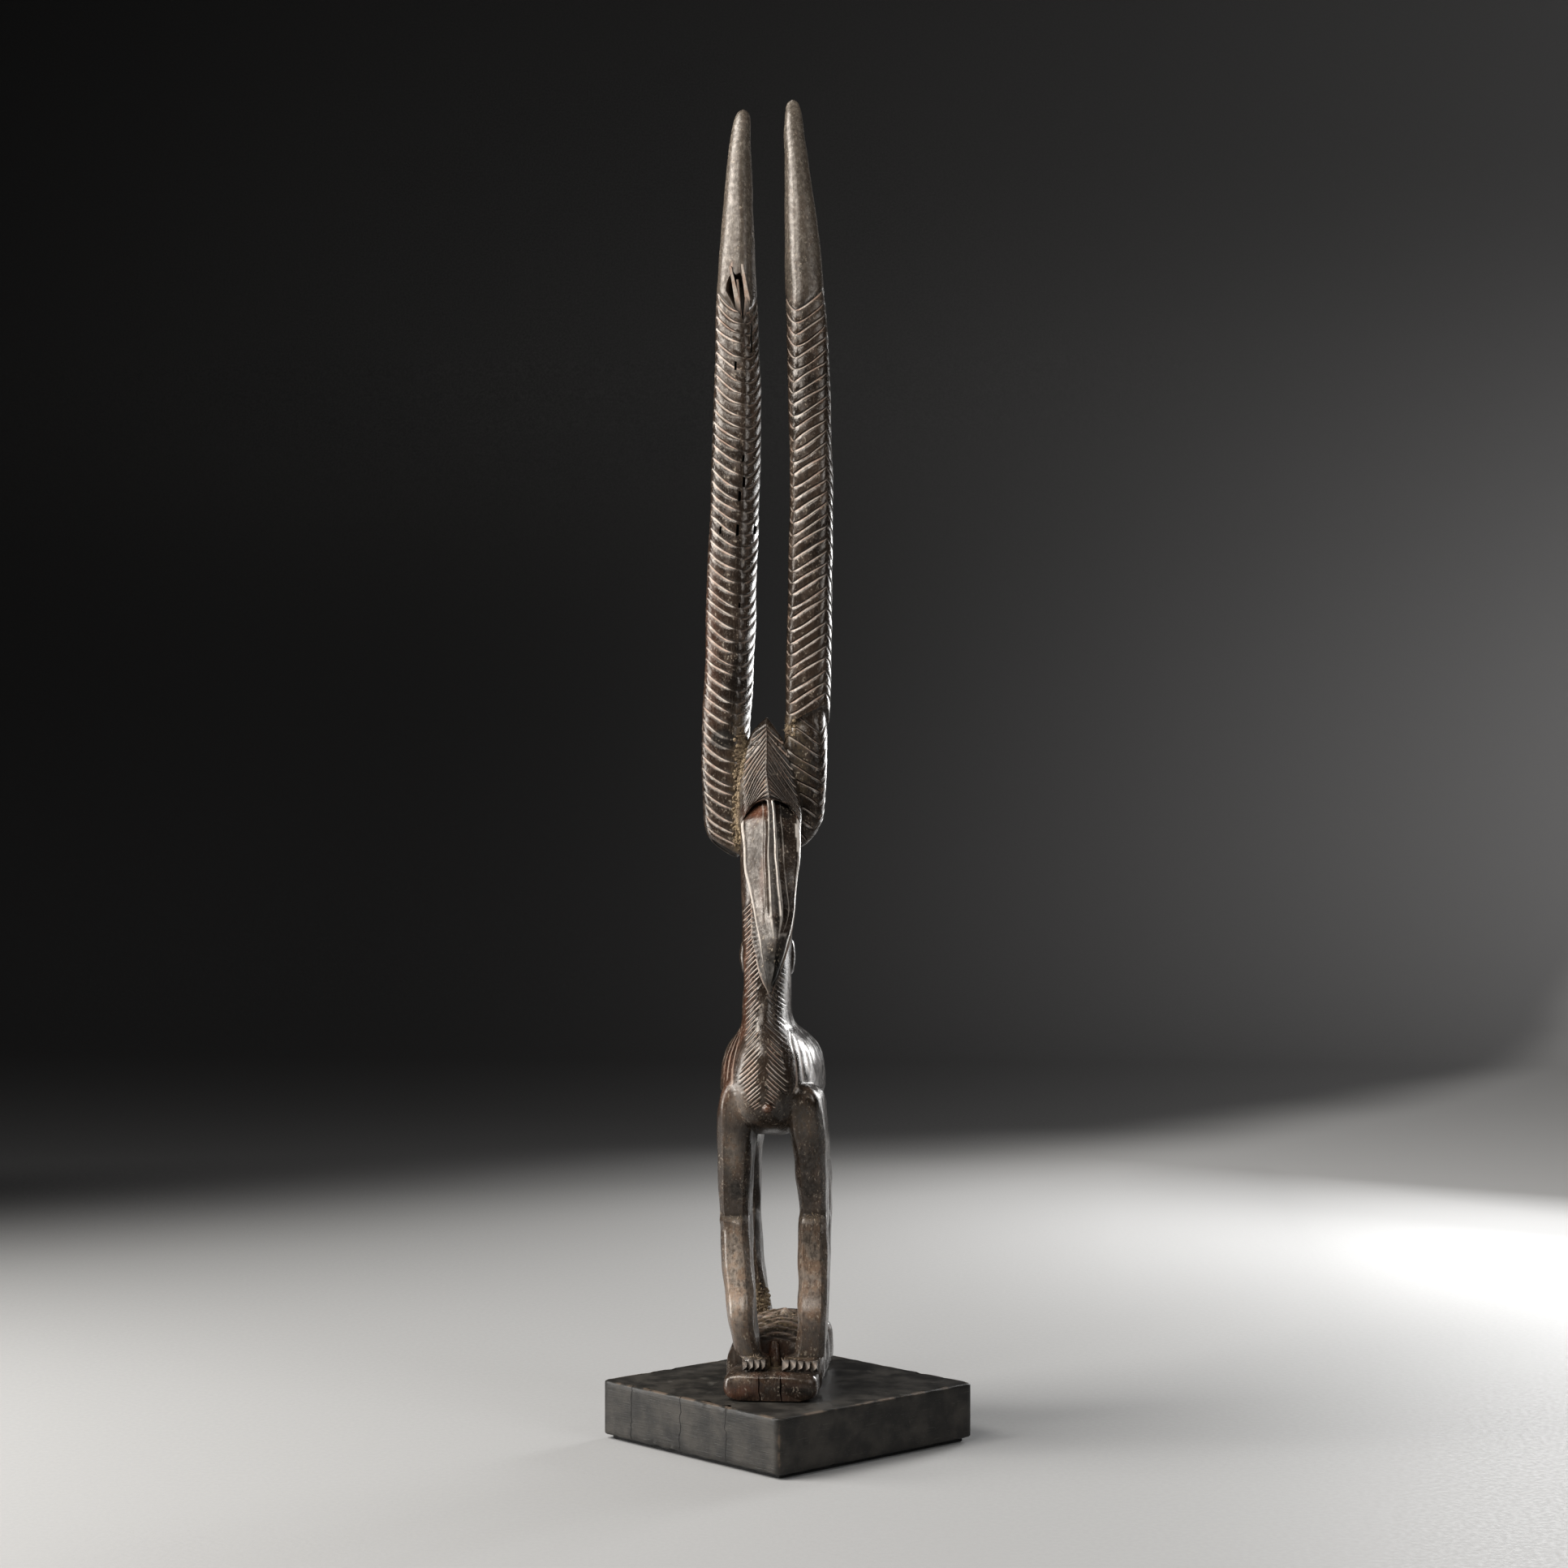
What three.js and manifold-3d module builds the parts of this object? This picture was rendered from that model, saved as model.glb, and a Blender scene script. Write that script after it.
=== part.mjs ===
// Carved wooden antelope headdress with two tall horns, standing on its dark square plinth.
// Millimetres, +Z up. The figure faces -Y. The origin is the centre of the underside.
// "Left" and "right" are the viewer's, looking at the figure's face.

import * as THREE from 'three';
import { mergeVertices } from 'three/addons/utils/BufferGeometryUtils.js';
import Module from 'manifold-3d';

// Driving dimensions
const FIGURE_HEIGHT = 800;       // plinth top to the tip of the right horn
const PLINTH_SIDE = 161.6;
const PLINTH_HEIGHT = 33.2;
const PLINTH_EDGE = 1.2;         // worn chamfer all round the plinth
const PLINTH_TURN = 47.8;        // degrees, a corner towards the viewer
const PAD_THICKNESS = 2.5;       // soft sheet under the plinth
const PAD_INSET = 4.5;           // from the plinth's sides
const SEAT_GAP = 0.3;            // clearance between pieces that rest on each other

// Carved strokes
const HORN_STROKE_PITCH = 7.4;
const HORN_STROKE_DEPTH = 1.1;
const HORN_STROKE_RISE = 13;     // height of one stroke from spine to spine
const STROKE_WALL = 0.2;         // steep upper wall of a stroke, as a share of the pitch
const NECK_STROKE_PITCH = 5;
const NECK_STROKE_DEPTH = 0.6;
const RIB_PITCH = 25;            // lobes along the carved base
const RIB_GROOVE_DEPTH = 2.6;
const RIB_GROOVE_WIDTH = 3.4;
const TOE_COUNT = 4;             // on each front foot
const TOE_GAP_DEPTH = 3.2;
const TOE_GAP_LEVELS = [17.4, 24.8];  // bottom and open top of a gap
const SLIT_WIDTH = 2;            // upright slits in the front of the base
const SLIT_DEPTH = 2.7;

// The figure is a free form. Its tables hold shares of its height: eight hundred make the whole,
// so that at full height one share is one millimetre.
const SHARES = 800;
const SHARE = FIGURE_HEIGHT / SHARES;

// Horn outlines: height, middle x, half width
const LEFT_HORN = [
  [317, -25, 4], [322, -28.5, 8], [330, -33, 12], [338, -36, 14], [347, -37, 15],
  [374, -38, 15.4], [401, -38.7, 14.2], [437, -37, 14.5], [492, -35.5, 14.7], [547, -34.1, 14.5],
  [602, -33.1, 14], [639, -33.6, 13], [676, -34.3, 11.8], [714, -34.4, 10.2], [752, -34.3, 8],
  [781, -33.3, 5.9], [788.5, -32.8, 4.6], [792, -32.5, 2.9], [793.5, -32.4, 0.8],
];
const RIGHT_HORN = [
  [398, 11, 13.4], [419, 12.4, 13.8], [437, 12.4, 14.1], [492, 13.3, 13.9], [547, 13.5, 13.5],
  [602, 12.1, 13.4], [639, 10.5, 12.7], [676, 8.6, 11.7], [714, 5.8, 10.4], [752, 2.7, 7.9],
  [780, 0.5, 6.1], [792, -0.4, 4.6], [797, -0.8, 3], [800, -1, 0.8],
];
const RIGHT_ROOT = [
  [325, 0, 4], [330, 3, 8.4], [338, 5.8, 12.2], [347, 8, 13.6], [374, 9.9, 13.8], [398, 10.9, 13],
  [406, 11.4, 12], [412, 11.8, 11.4], [417, 12, 10.6],
];
// Both horns: height, depth of the middle, half depth
const HORN_DEPTH = [
  [317, 6, 6], [330, 7, 10], [347, 8, 12], [401, 8.7, 13.4], [474, 11, 13.8], [565, 17, 13],
  [658, 27, 11], [714, 35, 9.4], [761, 43, 7.2], [790, 48, 4], [800, 50, 1.2],
];
const HORN_SECTION_POWER = 2.9;
const LEFT_CORNER = 30;          // outer front spine: degrees from outwards towards the front
const RIGHT_CORNER = 46;
const HORN_STROKES_TOP = 662;
const RIGHT_HORN_START = 399;    // the right horn's herringbone ends above its root
const ROOT_TURN = 90;            // degrees, by which the strokes of that root are turned
const ROOT_TUCK = 1.8;           // the root's top stays this far inside the horn

// Split in the left horn: outline seen from the front, its depths, and the splinter left standing in it
const SPLIT_RIM = [[-41.5, 676], [-40.5, 684], [-37, 690], [-31, 688], [-26, 676], [-24.5, 664],
  [-28, 656], [-34, 664]];
const SPLIT_MIDDLE = [-33, 672];
const SPLIT_NARROWING = [0.4, 0.6];  // what is left of its width and height at the bottom
const SPLIT_DEPTHS = [8, 34];
const SPLINTER = [[-33.4, 652], [-31.4, 652], [-34.8, 692], [-36, 692]];
const SPLINTER_DEPTHS = [20.6, 27];

// Neck and body: height, middle x, half width, front y, back y, squareness of the section
const TRUNK = [
  [155, -8.4, 15, -36, 48, 2.2], [157, -8.5, 20, -45, 57, 2.2], [163, -8.9, 26.4, -55, 67, 2.2],
  [172, -9, 30, -62, 73, 2.2], [184, -9, 31.4, -64.5, 75, 2.3], [195, -9, 30.6, -63.6, 74, 2.3],
  [204, -9.2, 28, -61.8, 69, 2.2], [211, -9.6, 23.6, -58.5, 60, 2.2], [216, -10, 19.4, -54.5, 45, 2.2],
  [221, -10.7, 16, -50.5, 30, 2.2], [227, -10.9, 14.9, -47.5, 22, 2.2], [240, -11, 14.6, -43.5, 17, 2.2],
  [266, -11.3, 14.8, -37.5, 14, 2.2], [300, -12, 15.4, -31, 14, 2.2], [340, -12.6, 16, -22, 15, 2.2],
  [372, -12.8, 15, -12, 16, 2.2], [392, -13, 11, -5, 15, 2.1], [401, -13.2, 6, 0, 12, 2],
];
// Carved bib down the neck and chest: height, half width
const BIB = [[155, 6], [168, 6], [178, 7], [190, 11], [202, 15], [214, 14.6], [227, 13.2],
  [300, 13.6], [326, 13], [372, 2], [401, 0.5]];
const BIB_SLOPE = 0.95;          // fall of a stroke for each step away from the apex line
const BIB_LEVEL_OUT = [158, 190];  // heights between which the strokes take up that slope
const NECK_STROKES_TOP = 297;
const NECK_STROKES_BOTTOM = 177;

// Head: outlines against height
const HEAD_LEFT = [
  [245, -3.6], [247, -3.9], [253, -4.8], [268, -9.3], [284, -13.2], [300, -17.9], [316, -22.2],
  [332, -24.4], [345, -26.6], [356, -27.8], [364, -28.8], [373, -29.2], [381, -28.8], [390, -26.6],
  [398, -22.8], [406, -16.6], [409, -13.8],
];
const HEAD_RIGHT = [
  [245, -2], [248, -1.6], [254, 1.2], [265, 4.4], [276, 7], [284, 8.8], [300, 9.7], [316, 10.5],
  [332, 10.9], [348, 10.3], [356, 9], [364, 7.3], [373, 5.2], [381, 3.2], [390, -0.6], [398, -4.4],
  [406, -10], [409, -12.6],
];
const HEAD_RIDGE = [             // height, x, y of the front ridge
  [245, -2.5, -87.6], [250, -1.8, -86.6], [265, 0.2, -80.2], [287, 0.2, -68.4], [304, -1.6, -59.4],
  [322, -4.2, -49.2], [350, -6.9, -32.4], [358, -8.4, -27.8], [370, -10.2, -20.6], [382, -11.3, -13],
  [395, -12.5, -5], [402, -13, -1], [409, -13.2, 3.6],
];
const HEAD_EDGE_Y = [            // height, y of the sharp cheek edges
  [245, -86.4], [250, -84.6], [265, -74.5], [284, -62.5], [302, -51], [322, -39.5], [346, -23.5],
  [358, -14], [370, -7], [382, -2.5], [395, 1], [402, 3], [409, 5],
];
const HEAD_BACK_Y = [            // height, y of the throat and the back of the skull
  [245, -85], [250, -80.5], [265, -65], [284, -47], [297, -34], [306, -20], [316, -4], [330, 8],
  [370, 14], [395, 13], [409, 8],
];
const CREST_LEVEL = 409;
const BROW_LEVEL = 358.6;
const BROW_DROP = 12;            // how far the brow arch falls to its outer ends
const BROW_OVERHANG = 4.8;
const EYE_HOLLOW_END = 322;
const NOSE_END = 288;
const NOSE_BAR = 0.16;           // half width of the nose bar, as a share of the half face
const NOSE_FLANK = 0.2;          // share of the half face where the bar's flanks meet the grooves
const NOSE_PROUD = 1.8;          // how far the bar stands in front of the muzzle
const NOSE_GROOVE = 2.4;         // depth of the grooves beside the nose bar
const CHEEK_CREST = 0.4;         // share of the half face where the cheek planes meet the grooves
const SKULL_SIDES = [            // height, how far the skull stands out behind the left and right edges
  [245, -0.3, -0.3], [300, -3, -3], [330, -1, -2.4], [345, 2.5, -1.4], [358, 4, -1], [372, 3.5, -0.6],
  [390, 1.5, 0], [409, -0.5, -0.5],
];

// Lower jaw: height, left x, right x, front y, back y
const JAW = [
  [243.5, -3.4, -1.6, -84.2, -81.6], [250, -6.6, 0.4, -83, -76], [262, -11.4, 4.4, -75, -64],
  [274, -15.4, 7.2, -66.5, -53], [288, -17.4, 8.6, -57, -41], [300, -18.4, 9, -46, -30],
];

// Legs: height, middle x, half width, front y, back y
const FRONT_LEG_LEFT = [
  [15, -16, 7.6, -60, -34], [23, -16.4, 7.7, -58, -32], [24.6, -18.4, 8.2, -53.5, -31],
  [34, -22, 8.6, -54, -30], [47, -25, 9, -55.5, -28], [62, -26.4, 9.2, -49.5, -22],
  [78, -27.5, 9.3, -45, -17], [104.4, -29.2, 9.2, -39, -10.5], [106, -29.3, 9, -36.4, -10],
  [136, -28.5, 10.3, -44, -13], [158, -28, 10.9, -50, -16], [172, -27.4, 10.6, -54.5, -18],
  [181, -27, 9.8, -55.4, -20], [187, -26.4, 8, -54, -23], [190.5, -26, 4.6, -51, -26],
];
const FRONT_LEG_RIGHT = [
  [15, 12.6, 8.6, -60, -34], [23, 12.8, 8.7, -58, -32], [24.6, 15.6, 9.2, -53.5, -31],
  [34, 18, 9, -54, -30], [47, 19, 8.6, -55.5, -28], [62, 19, 8.8, -49.5, -22],
  [78, 18.9, 8.9, -45, -17], [105.8, 18.4, 8.9, -39, -10.5], [107.4, 18.4, 8.7, -36.4, -10],
  [136, 17.6, 9.6, -44, -13], [158, 16, 11.2, -50, -16], [172, 14.4, 11.6, -54.5, -18],
  [179, 14.2, 11, -55.6, -20], [184, 13.8, 9, -54.6, -23], [187, 13, 5.4, -52, -26],
];
const FEET = [                   // left and right front foot: middle x, half width
  [-16, 7.6], [12.6, 8.6],
];
const HIND_LEGS = [              // height, left middle x, right middle x, half width, front y, back y
  [30, -21.5, 13, 7.6, 34, 60], [42, -23, 14.2, 7.8, 34, 58], [54, -25, 14.8, 8, 32, 56],
  [66, -26.8, 14.7, 8, 36, 60], [96, -30, 15.2, 8, 46, 68], [99, -30, 15.2, 8, 48, 69],
  [128, -29.6, 14, 8.4, 36, 66], [152, -27.6, 12.4, 8.8, 28, 68], [176, -24, 8.8, 8.4, 24, 66],
];
const LEG_SECTION_POWER = 5;

// Carved base under the feet
const BASE_AXIS_X = -4.6;
const BASE_LENGTH = [-63.5, 63.5];
const BASE_STEP_Y = -37.5;
const BASE_FRONT_HEIGHT = 16.8;
const BASE_FRONT_HALF = 29.2;
const BASE_REAR_HALF = 29.8;
const SLITS_X = [-10.5, 2.6];
const BASE_DOME = [              // y, height of the dome behind the step
  [-37.5, 32.5], [-20, 36], [10, 38.5], [35, 38.5], [52, 35], [60, 28], [63.5, 18],
];

// Young one on the back, behind the neck
const FAWN_X = -14.4;

const wasm = await Module();
wasm.setup();

// Values between the rows of a table, by a cubic that never overshoots them
function curve(rows) {
  const count = rows.length;
  const width = rows[0].length - 1;
  const slopes = rows.map(() => new Array(width).fill(0));
  for (let i = 1; i < count - 1; i++) {
    for (let v = 1; v <= width; v++) {
      const before = (rows[i][v] - rows[i - 1][v]) / (rows[i][0] - rows[i - 1][0]);
      const after = (rows[i + 1][v] - rows[i][v]) / (rows[i + 1][0] - rows[i][0]);
      slopes[i][v - 1] = before * after > 0 ? 2 * before * after / (before + after) : 0;
    }
  }
  return (position) => {
    const at = THREE.MathUtils.clamp(position, rows[0][0], rows[count - 1][0]);
    let i = 0;
    while (i < count - 2 && at > rows[i + 1][0]) i++;
    const span = rows[i + 1][0] - rows[i][0];
    const t = (at - rows[i][0]) / span;
    const values = [];
    for (let v = 1; v <= width; v++) {
      const a = rows[i][v];
      const b = rows[i + 1][v];
      const sa = slopes[i][v - 1] * span;
      const sb = slopes[i + 1][v - 1] * span;
      const cubic = (2 * (a - b) + sa + sb) * t ** 3 + (3 * (b - a) - 2 * sa - sb) * t ** 2 + sa * t + a;
      values.push(cubic);
    }
    return values;
  };
}

function signedPower(value, power) {
  return Math.sign(value) * Math.abs(value) ** power;
}

// Closed skin through rings of equally many points, with both ends closed
function loft(rings) {
  const size = rings[0].length;
  const positions = [];
  rings.forEach((ring) => ring.forEach((p) => positions.push(p[0], p[1], p[2])));
  const faces = [];
  for (let r = 0; r < rings.length - 1; r++) {
    for (let c = 0; c < size; c++) {
      const a = r * size + c;
      const b = r * size + (c + 1) % size;
      faces.push(a, b, b + size, a, b + size, a + size);
    }
  }
  const closeEnd = (ring, start, flip) => {
    const middle = positions.length / 3;
    const sum = ring.reduce((s, p) => [s[0] + p[0], s[1] + p[1], s[2] + p[2]], [0, 0, 0]);
    positions.push(sum[0] / size, sum[1] / size, sum[2] / size);
    for (let c = 0; c < size; c++) {
      const a = start + c;
      const b = start + (c + 1) % size;
      if (flip) faces.push(b, a, middle);
      else faces.push(a, b, middle);
    }
  };
  closeEnd(rings[0], 0, true);
  closeEnd(rings[rings.length - 1], (rings.length - 1) * size, false);
  const geometry = new THREE.BufferGeometry();
  geometry.setAttribute('position', new THREE.Float32BufferAttribute(positions, 3));
  geometry.setIndex(faces);
  return geometry;
}

function enclosedVolume(positions, index) {
  const [a, b, c] = [new THREE.Vector3(), new THREE.Vector3(), new THREE.Vector3()];
  let total = 0;
  for (let i = 0; i < index.length; i += 3) {
    a.fromArray(positions, index[i] * 3);
    b.fromArray(positions, index[i + 1] * 3);
    c.fromArray(positions, index[i + 2] * 3);
    total += a.dot(b.cross(c)) / 6;
  }
  return total;
}

// A closed geometry as a solid that can be joined and cut, its faces turned outwards
function solidOf(geometry) {
  const plain = geometry.clone();
  plain.deleteAttribute('normal');
  plain.deleteAttribute('uv');
  const merged = mergeVertices(plain, 1e-4);
  const vertProperties = Float32Array.from(merged.attributes.position.array);
  const triVerts = Uint32Array.from(merged.index.array);
  if (enclosedVolume(vertProperties, triVerts) < 0) triVerts.reverse();
  return new wasm.Manifold(new wasm.Mesh({ numProp: 3, vertProperties, triVerts }));
}

function geometryOf(solid) {
  const mesh = solid.getMesh();
  const geometry = new THREE.BufferGeometry();
  geometry.setAttribute('position', new THREE.Float32BufferAttribute(mesh.vertProperties, 3));
  geometry.setIndex(new THREE.Uint32BufferAttribute(mesh.triVerts, 1));
  return geometry;
}

// Rings given in shares of the figure's height become a solid at its real size
function carved(rings) {
  return solidOf(loft(rings.map((ring) => ring.map((p) => p.map((v) => v * SHARE)))));
}

// Sizes in millimetres, in the shares that the tables use
const inShares = (size) => size / SHARE;

// Columns round a horn: four spines with the herringbone faces between them
function hornColumns() {
  const columns = [];
  const faceShares = [[0, 0.22, 0.8], [0, 0.5], [0, 0.5], [0, 0.5]];
  faceShares.forEach((shares, face) => shares.forEach((share) => columns.push({ face, share })));
  return columns;
}

function hornPoint(shape, column, level, riseShare, cut) {
  const climbs = column.face % 2 === 0 ? 1 - column.share : column.share;
  const z = level + riseShare * climbs * inShares(HORN_STROKE_RISE);
  const [middle, half] = shape.outline(z);
  const [middleY, halfDepth] = shape.depth(z);
  const angle = THREE.MathUtils.degToRad(shape.corner + 90 * (column.face + column.share));
  const local = angle - THREE.MathUtils.degToRad(shape.corner - 45);
  const power = HORN_SECTION_POWER;
  const reach = (Math.abs(Math.cos(local)) ** power + Math.abs(Math.sin(local)) ** power) ** (-1 / power);
  const spine = column.share === 0;
  const inset = spine ? 0 : cut * inShares(HORN_STROKE_DEPTH);
  const x = middle + shape.side * Math.cos(angle) * reach * (half - inset);
  const y = middleY - Math.sin(angle) * reach * (halfDepth - inset);
  return [x, y, z];
}

// A length of horn covered in strokes, then the levels above them where it is plain
function hornSolid(side, corner, table, depth, strokesFrom, strokesTo, plain) {
  const columns = hornColumns();
  const shape = { side, corner, outline: curve(table), depth };
  const ring = (level, rise, cut) => columns.map((column) => hornPoint(shape, column, level, rise, cut));
  const pitch = inShares(HORN_STROKE_PITCH);
  const wall = STROKE_WALL * pitch;
  const rings = [];
  const count = Math.floor((strokesTo - strokesFrom) / pitch);
  for (let k = count; k >= 0; k--) {
    const level = strokesTo - k * pitch;
    rings.push(ring(level, 1, 1));
    rings.push(ring(level + wall, 1, 0));
  }
  plain.forEach(([level, rise]) => rings.push(ring(level, rise, 0)));
  return carved(rings);
}

// Plain upper end of a horn: levels, and the share of the stroke rise left in them
function plainEnd(table) {
  const top = HORN_STROKES_TOP;
  const tip = table[table.length - 1][0];
  return [[top + 14, 0.6], [top + 32, 0.3], [top + 56, 0], [top + 84, 0], [top + 106, 0], [tip - 12, 0],
    [tip - 5, 0], [tip - 1.5, 0], [tip, 0]];
}

function leftHorn() {
  const lowest = LEFT_HORN[0][0];
  const depth = curve(HORN_DEPTH);
  return hornSolid(-1, LEFT_CORNER, LEFT_HORN, depth, lowest, HORN_STROKES_TOP, plainEnd(LEFT_HORN));
}

function rightHorn() {
  const lowest = RIGHT_HORN_START;
  const depth = curve(HORN_DEPTH);
  return hornSolid(1, RIGHT_CORNER, RIGHT_HORN, depth, lowest, HORN_STROKES_TOP, plainEnd(RIGHT_HORN));
}

function rightHornRoot() {
  const top = RIGHT_ROOT[RIGHT_ROOT.length - 1][0];
  const strokesTo = RIGHT_HORN_START;
  const whole = curve(HORN_DEPTH);
  const depth = (z) => {
    const [middle, half] = whole(z);
    return [middle, half - ROOT_TUCK * THREE.MathUtils.smoothstep(z, strokesTo, strokesTo + 6)];
  };
  const plain = [[strokesTo + 6, 0.6], [top, 0]];
  const corner = RIGHT_CORNER + ROOT_TURN;
  return hornSolid(1, corner, RIGHT_ROOT, depth, RIGHT_ROOT[0][0], strokesTo, plain);
}

// Split in the left horn above its strokes, with one long splinter left standing
function hornSplit() {
  const [front, bottom] = SPLIT_DEPTHS;
  const narrowed = (value, axis) =>
    SPLIT_MIDDLE[axis] + (value - SPLIT_MIDDLE[axis]) * SPLIT_NARROWING[axis];
  const rim = SPLIT_RIM.map(([x, z]) => [x, front, z]);
  return carved([rim, SPLIT_RIM.map(([x, z]) => [narrowed(x, 0), bottom, narrowed(z, 1)])]);
}

function splinter() {
  return carved(SPLINTER_DEPTHS.map((y) => SPLINTER.map(([x, z]) => [x, y, z])));
}

// Neck, chest and body in sections. The rings fall away on both sides of an apex line at the front,
// so that the strokes of the herringbone bib lie along them.
function trunkRing(tables, level, cut) {
  const [bib] = tables.bib(level);
  const slope = BIB_SLOPE * THREE.MathUtils.smoothstep(level, ...BIB_LEVEL_OUT);
  const across = [0, 0.22, 0.6, 1];
  const round = [0.25, 0.5, 0.75];
  const point = (away, side) => {
    const onBib = away <= 1;
    const z = level - slope * bib * Math.min(away, 1);
    const [middle, half, front, back, power] = tables.trunk(z);
    const edge = Math.asin(Math.min(bib / half, 0.98) ** (power / 2));
    const angle = onBib
      ? Math.asin((Math.min(bib / half, 0.98) * away) ** (power / 2))
      : edge + (Math.PI - edge) * (away - 1);
    const carvedHere = away > 0 && away < 1;
    const inset = carvedHere ? cut * inShares(NECK_STROKE_DEPTH) : 0;
    const x = middle + side * Math.sin(angle) ** (2 / power) * (half - inset);
    const y = (back + front) / 2 - signedPower(Math.cos(angle), 2 / power) * ((back - front) / 2 - inset);
    return [x, y, z];
  };
  const ring = [point(0, 1)];
  across.slice(1).forEach((away) => ring.push(point(away, 1)));
  round.forEach((share) => ring.push(point(1 + share, 1)));
  ring.push(point(2, 1));
  [...round].reverse().forEach((share) => ring.push(point(1 + share, -1)));
  [...across.slice(1)].reverse().forEach((away) => ring.push(point(away, -1)));
  return ring;
}

function trunkSolid() {
  const tables = { trunk: curve(TRUNK), bib: curve(BIB) };
  const pitch = inShares(NECK_STROKE_PITCH);
  const wall = STROKE_WALL * pitch;
  const rings = [];
  [155, 156.4, 159, 163, 168, 173].forEach((z) => rings.push(trunkRing(tables, z, 0)));
  const count = Math.floor((NECK_STROKES_TOP - NECK_STROKES_BOTTOM) / pitch);
  for (let k = count; k >= 0; k--) {
    const level = NECK_STROKES_TOP - k * pitch;
    rings.push(trunkRing(tables, level, Math.min((count - k) / 3, 1)));
    rings.push(trunkRing(tables, level + wall, 0));
  }
  [320, 340, 362, 384, 401].forEach((z) => rings.push(trunkRing(tables, z, 0)));
  return carved(rings);
}

// Front of the head: a ridge or nose bar in the middle, cheek planes, sharp edges at the sides
function facePoint(tables, u, level) {
  const arch = THREE.MathUtils.smoothstep(level, NOSE_END + 12, BROW_LEVEL)
    * (1 - THREE.MathUtils.smoothstep(level, BROW_LEVEL + 22, CREST_LEVEL));
  const away = Math.abs(u);
  const z = level - arch * BROW_DROP * away ** 1.6;
  const [ridgeX, ridgeY] = tables.ridge(z);
  const [edgeX] = u < 0 ? tables.left(z) : tables.right(z);
  const [edgeY] = tables.edge(z);
  const x = ridgeX + (edgeX - ridgeX) * away;
  let y = ridgeY + (edgeY - ridgeY) * away ** 1.25;
  if (level < BROW_LEVEL && level > NOSE_END && away <= NOSE_BAR) {
    y -= NOSE_PROUD;
  } else if (level < BROW_LEVEL && away >= NOSE_FLANK) {
    const beside = THREE.MathUtils.clamp((1 - away) / (1 - CHEEK_CREST), 0, 1);
    const fade = THREE.MathUtils.smoothstep(level, NOSE_END - 6, NOSE_END + 8);
    const hollow = THREE.MathUtils.smoothstep(level, EYE_HOLLOW_END, BROW_LEVEL);
    const inGroove = away < CHEEK_CREST ? 1 : 0.5;
    y += NOSE_GROOVE * fade * beside * inGroove;
    y += BROW_OVERHANG * hollow * Math.min(beside * 2, 1);
  }
  return [x, y, z];
}

function headRing(tables, level) {
  const half = [NOSE_BAR, NOSE_FLANK, CHEEK_CREST, 0.7, 1];
  const across = [...half.map((u) => -u).reverse(), ...half];
  const ring = across.map((u) => facePoint(tables, u, level));
  const left = ring[0];
  const right = ring[ring.length - 1];
  const middle = (left[0] + right[0]) / 2;
  const [backY] = tables.back(level);
  const [proudLeft, proudRight] = tables.sides(level);
  const sideY = (y, share) => Math.max(backY, y + 0.6) * share + y * (1 - share);
  const behind = (edge, side, share, more) =>
    [middle + side * Math.max(Math.abs(edge[0] - middle) + more, 0.4), sideY(edge[1], share), edge[2]];
  ring.push(behind(right, 1, 0.45, proudRight));
  ring.push(behind(right, 1, 1, proudRight * 1.2 - 1.4));
  ring.push([middle, sideY(Math.max(left[1], right[1]), 1) + 1, (left[2] + right[2]) / 2]);
  ring.push(behind(left, -1, 1, proudLeft * 1.2 - 1.4));
  ring.push(behind(left, -1, 0.45, proudLeft));
  return ring;
}

function headSolid() {
  const tables = {
    left: curve(HEAD_LEFT), right: curve(HEAD_RIGHT), ridge: curve(HEAD_RIDGE),
    edge: curve(HEAD_EDGE_Y), back: curve(HEAD_BACK_Y), sides: curve(SKULL_SIDES),
  };
  const levels = [245, 250, 257, 265, 277, NOSE_END, NOSE_END + 0.8, 298, 311, 325, 338, 349,
    BROW_LEVEL - 0.6, BROW_LEVEL, 365, 373, 381, 389, 396, 402, 406, CREST_LEVEL];
  return carved(levels.map((level) => headRing(tables, level)));
}

// Lower jaw, a thin wedge just behind the muzzle and a little wider
function jawSolid() {
  const rings = JAW.map(([z, left, right, front, back]) => [
    [left, (front + back) / 2, z], [(left * 2 + right) / 3, front, z],
    [(left + right * 2) / 3, front, z], [right, (front + back) / 2, z],
    [(left + right * 2) / 3, back, z], [(left * 2 + right) / 3, back, z],
  ]);
  return carved(rings);
}

// A leg in level sections with nearly flat faces
function legSolid(rows) {
  const steps = 8;
  const rings = rows.map(([z, middle, half, front, back]) => {
    const ring = [];
    for (let i = 0; i < steps; i++) {
      const angle = (i + 0.5) / steps * 2 * Math.PI;
      const x = middle + signedPower(Math.cos(angle), 2 / LEG_SECTION_POWER) * half;
      const reach = signedPower(Math.sin(angle), 2 / LEG_SECTION_POWER);
      ring.push([x, (front + back) / 2 + reach * (back - front) / 2, z]);
    }
    return ring;
  });
  return carved(rings);
}

function hindLeg(side) {
  return legSolid(HIND_LEGS.map(([z, left, right, ...sizes]) => [z, side < 0 ? left : right, ...sizes]));
}

// Notch beside a toe, open to the front and upwards, narrow at its foot
function toeNotch(x, width) {
  const toesY = FRONT_LEG_LEFT[0][3];
  const frontY = toesY - 4;
  const backY = toesY + inShares(TOE_GAP_DEPTH);
  const notch = (half, z) => [[x - half, frontY, z], [x + half, frontY, z], [x + half * 0.6, backY, z],
    [x - half * 0.6, backY, z]];
  const [bottom, top] = TOE_GAP_LEVELS;
  return carved([notch(width * 0.12, bottom), notch(width * 0.5, top)]);
}

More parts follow.
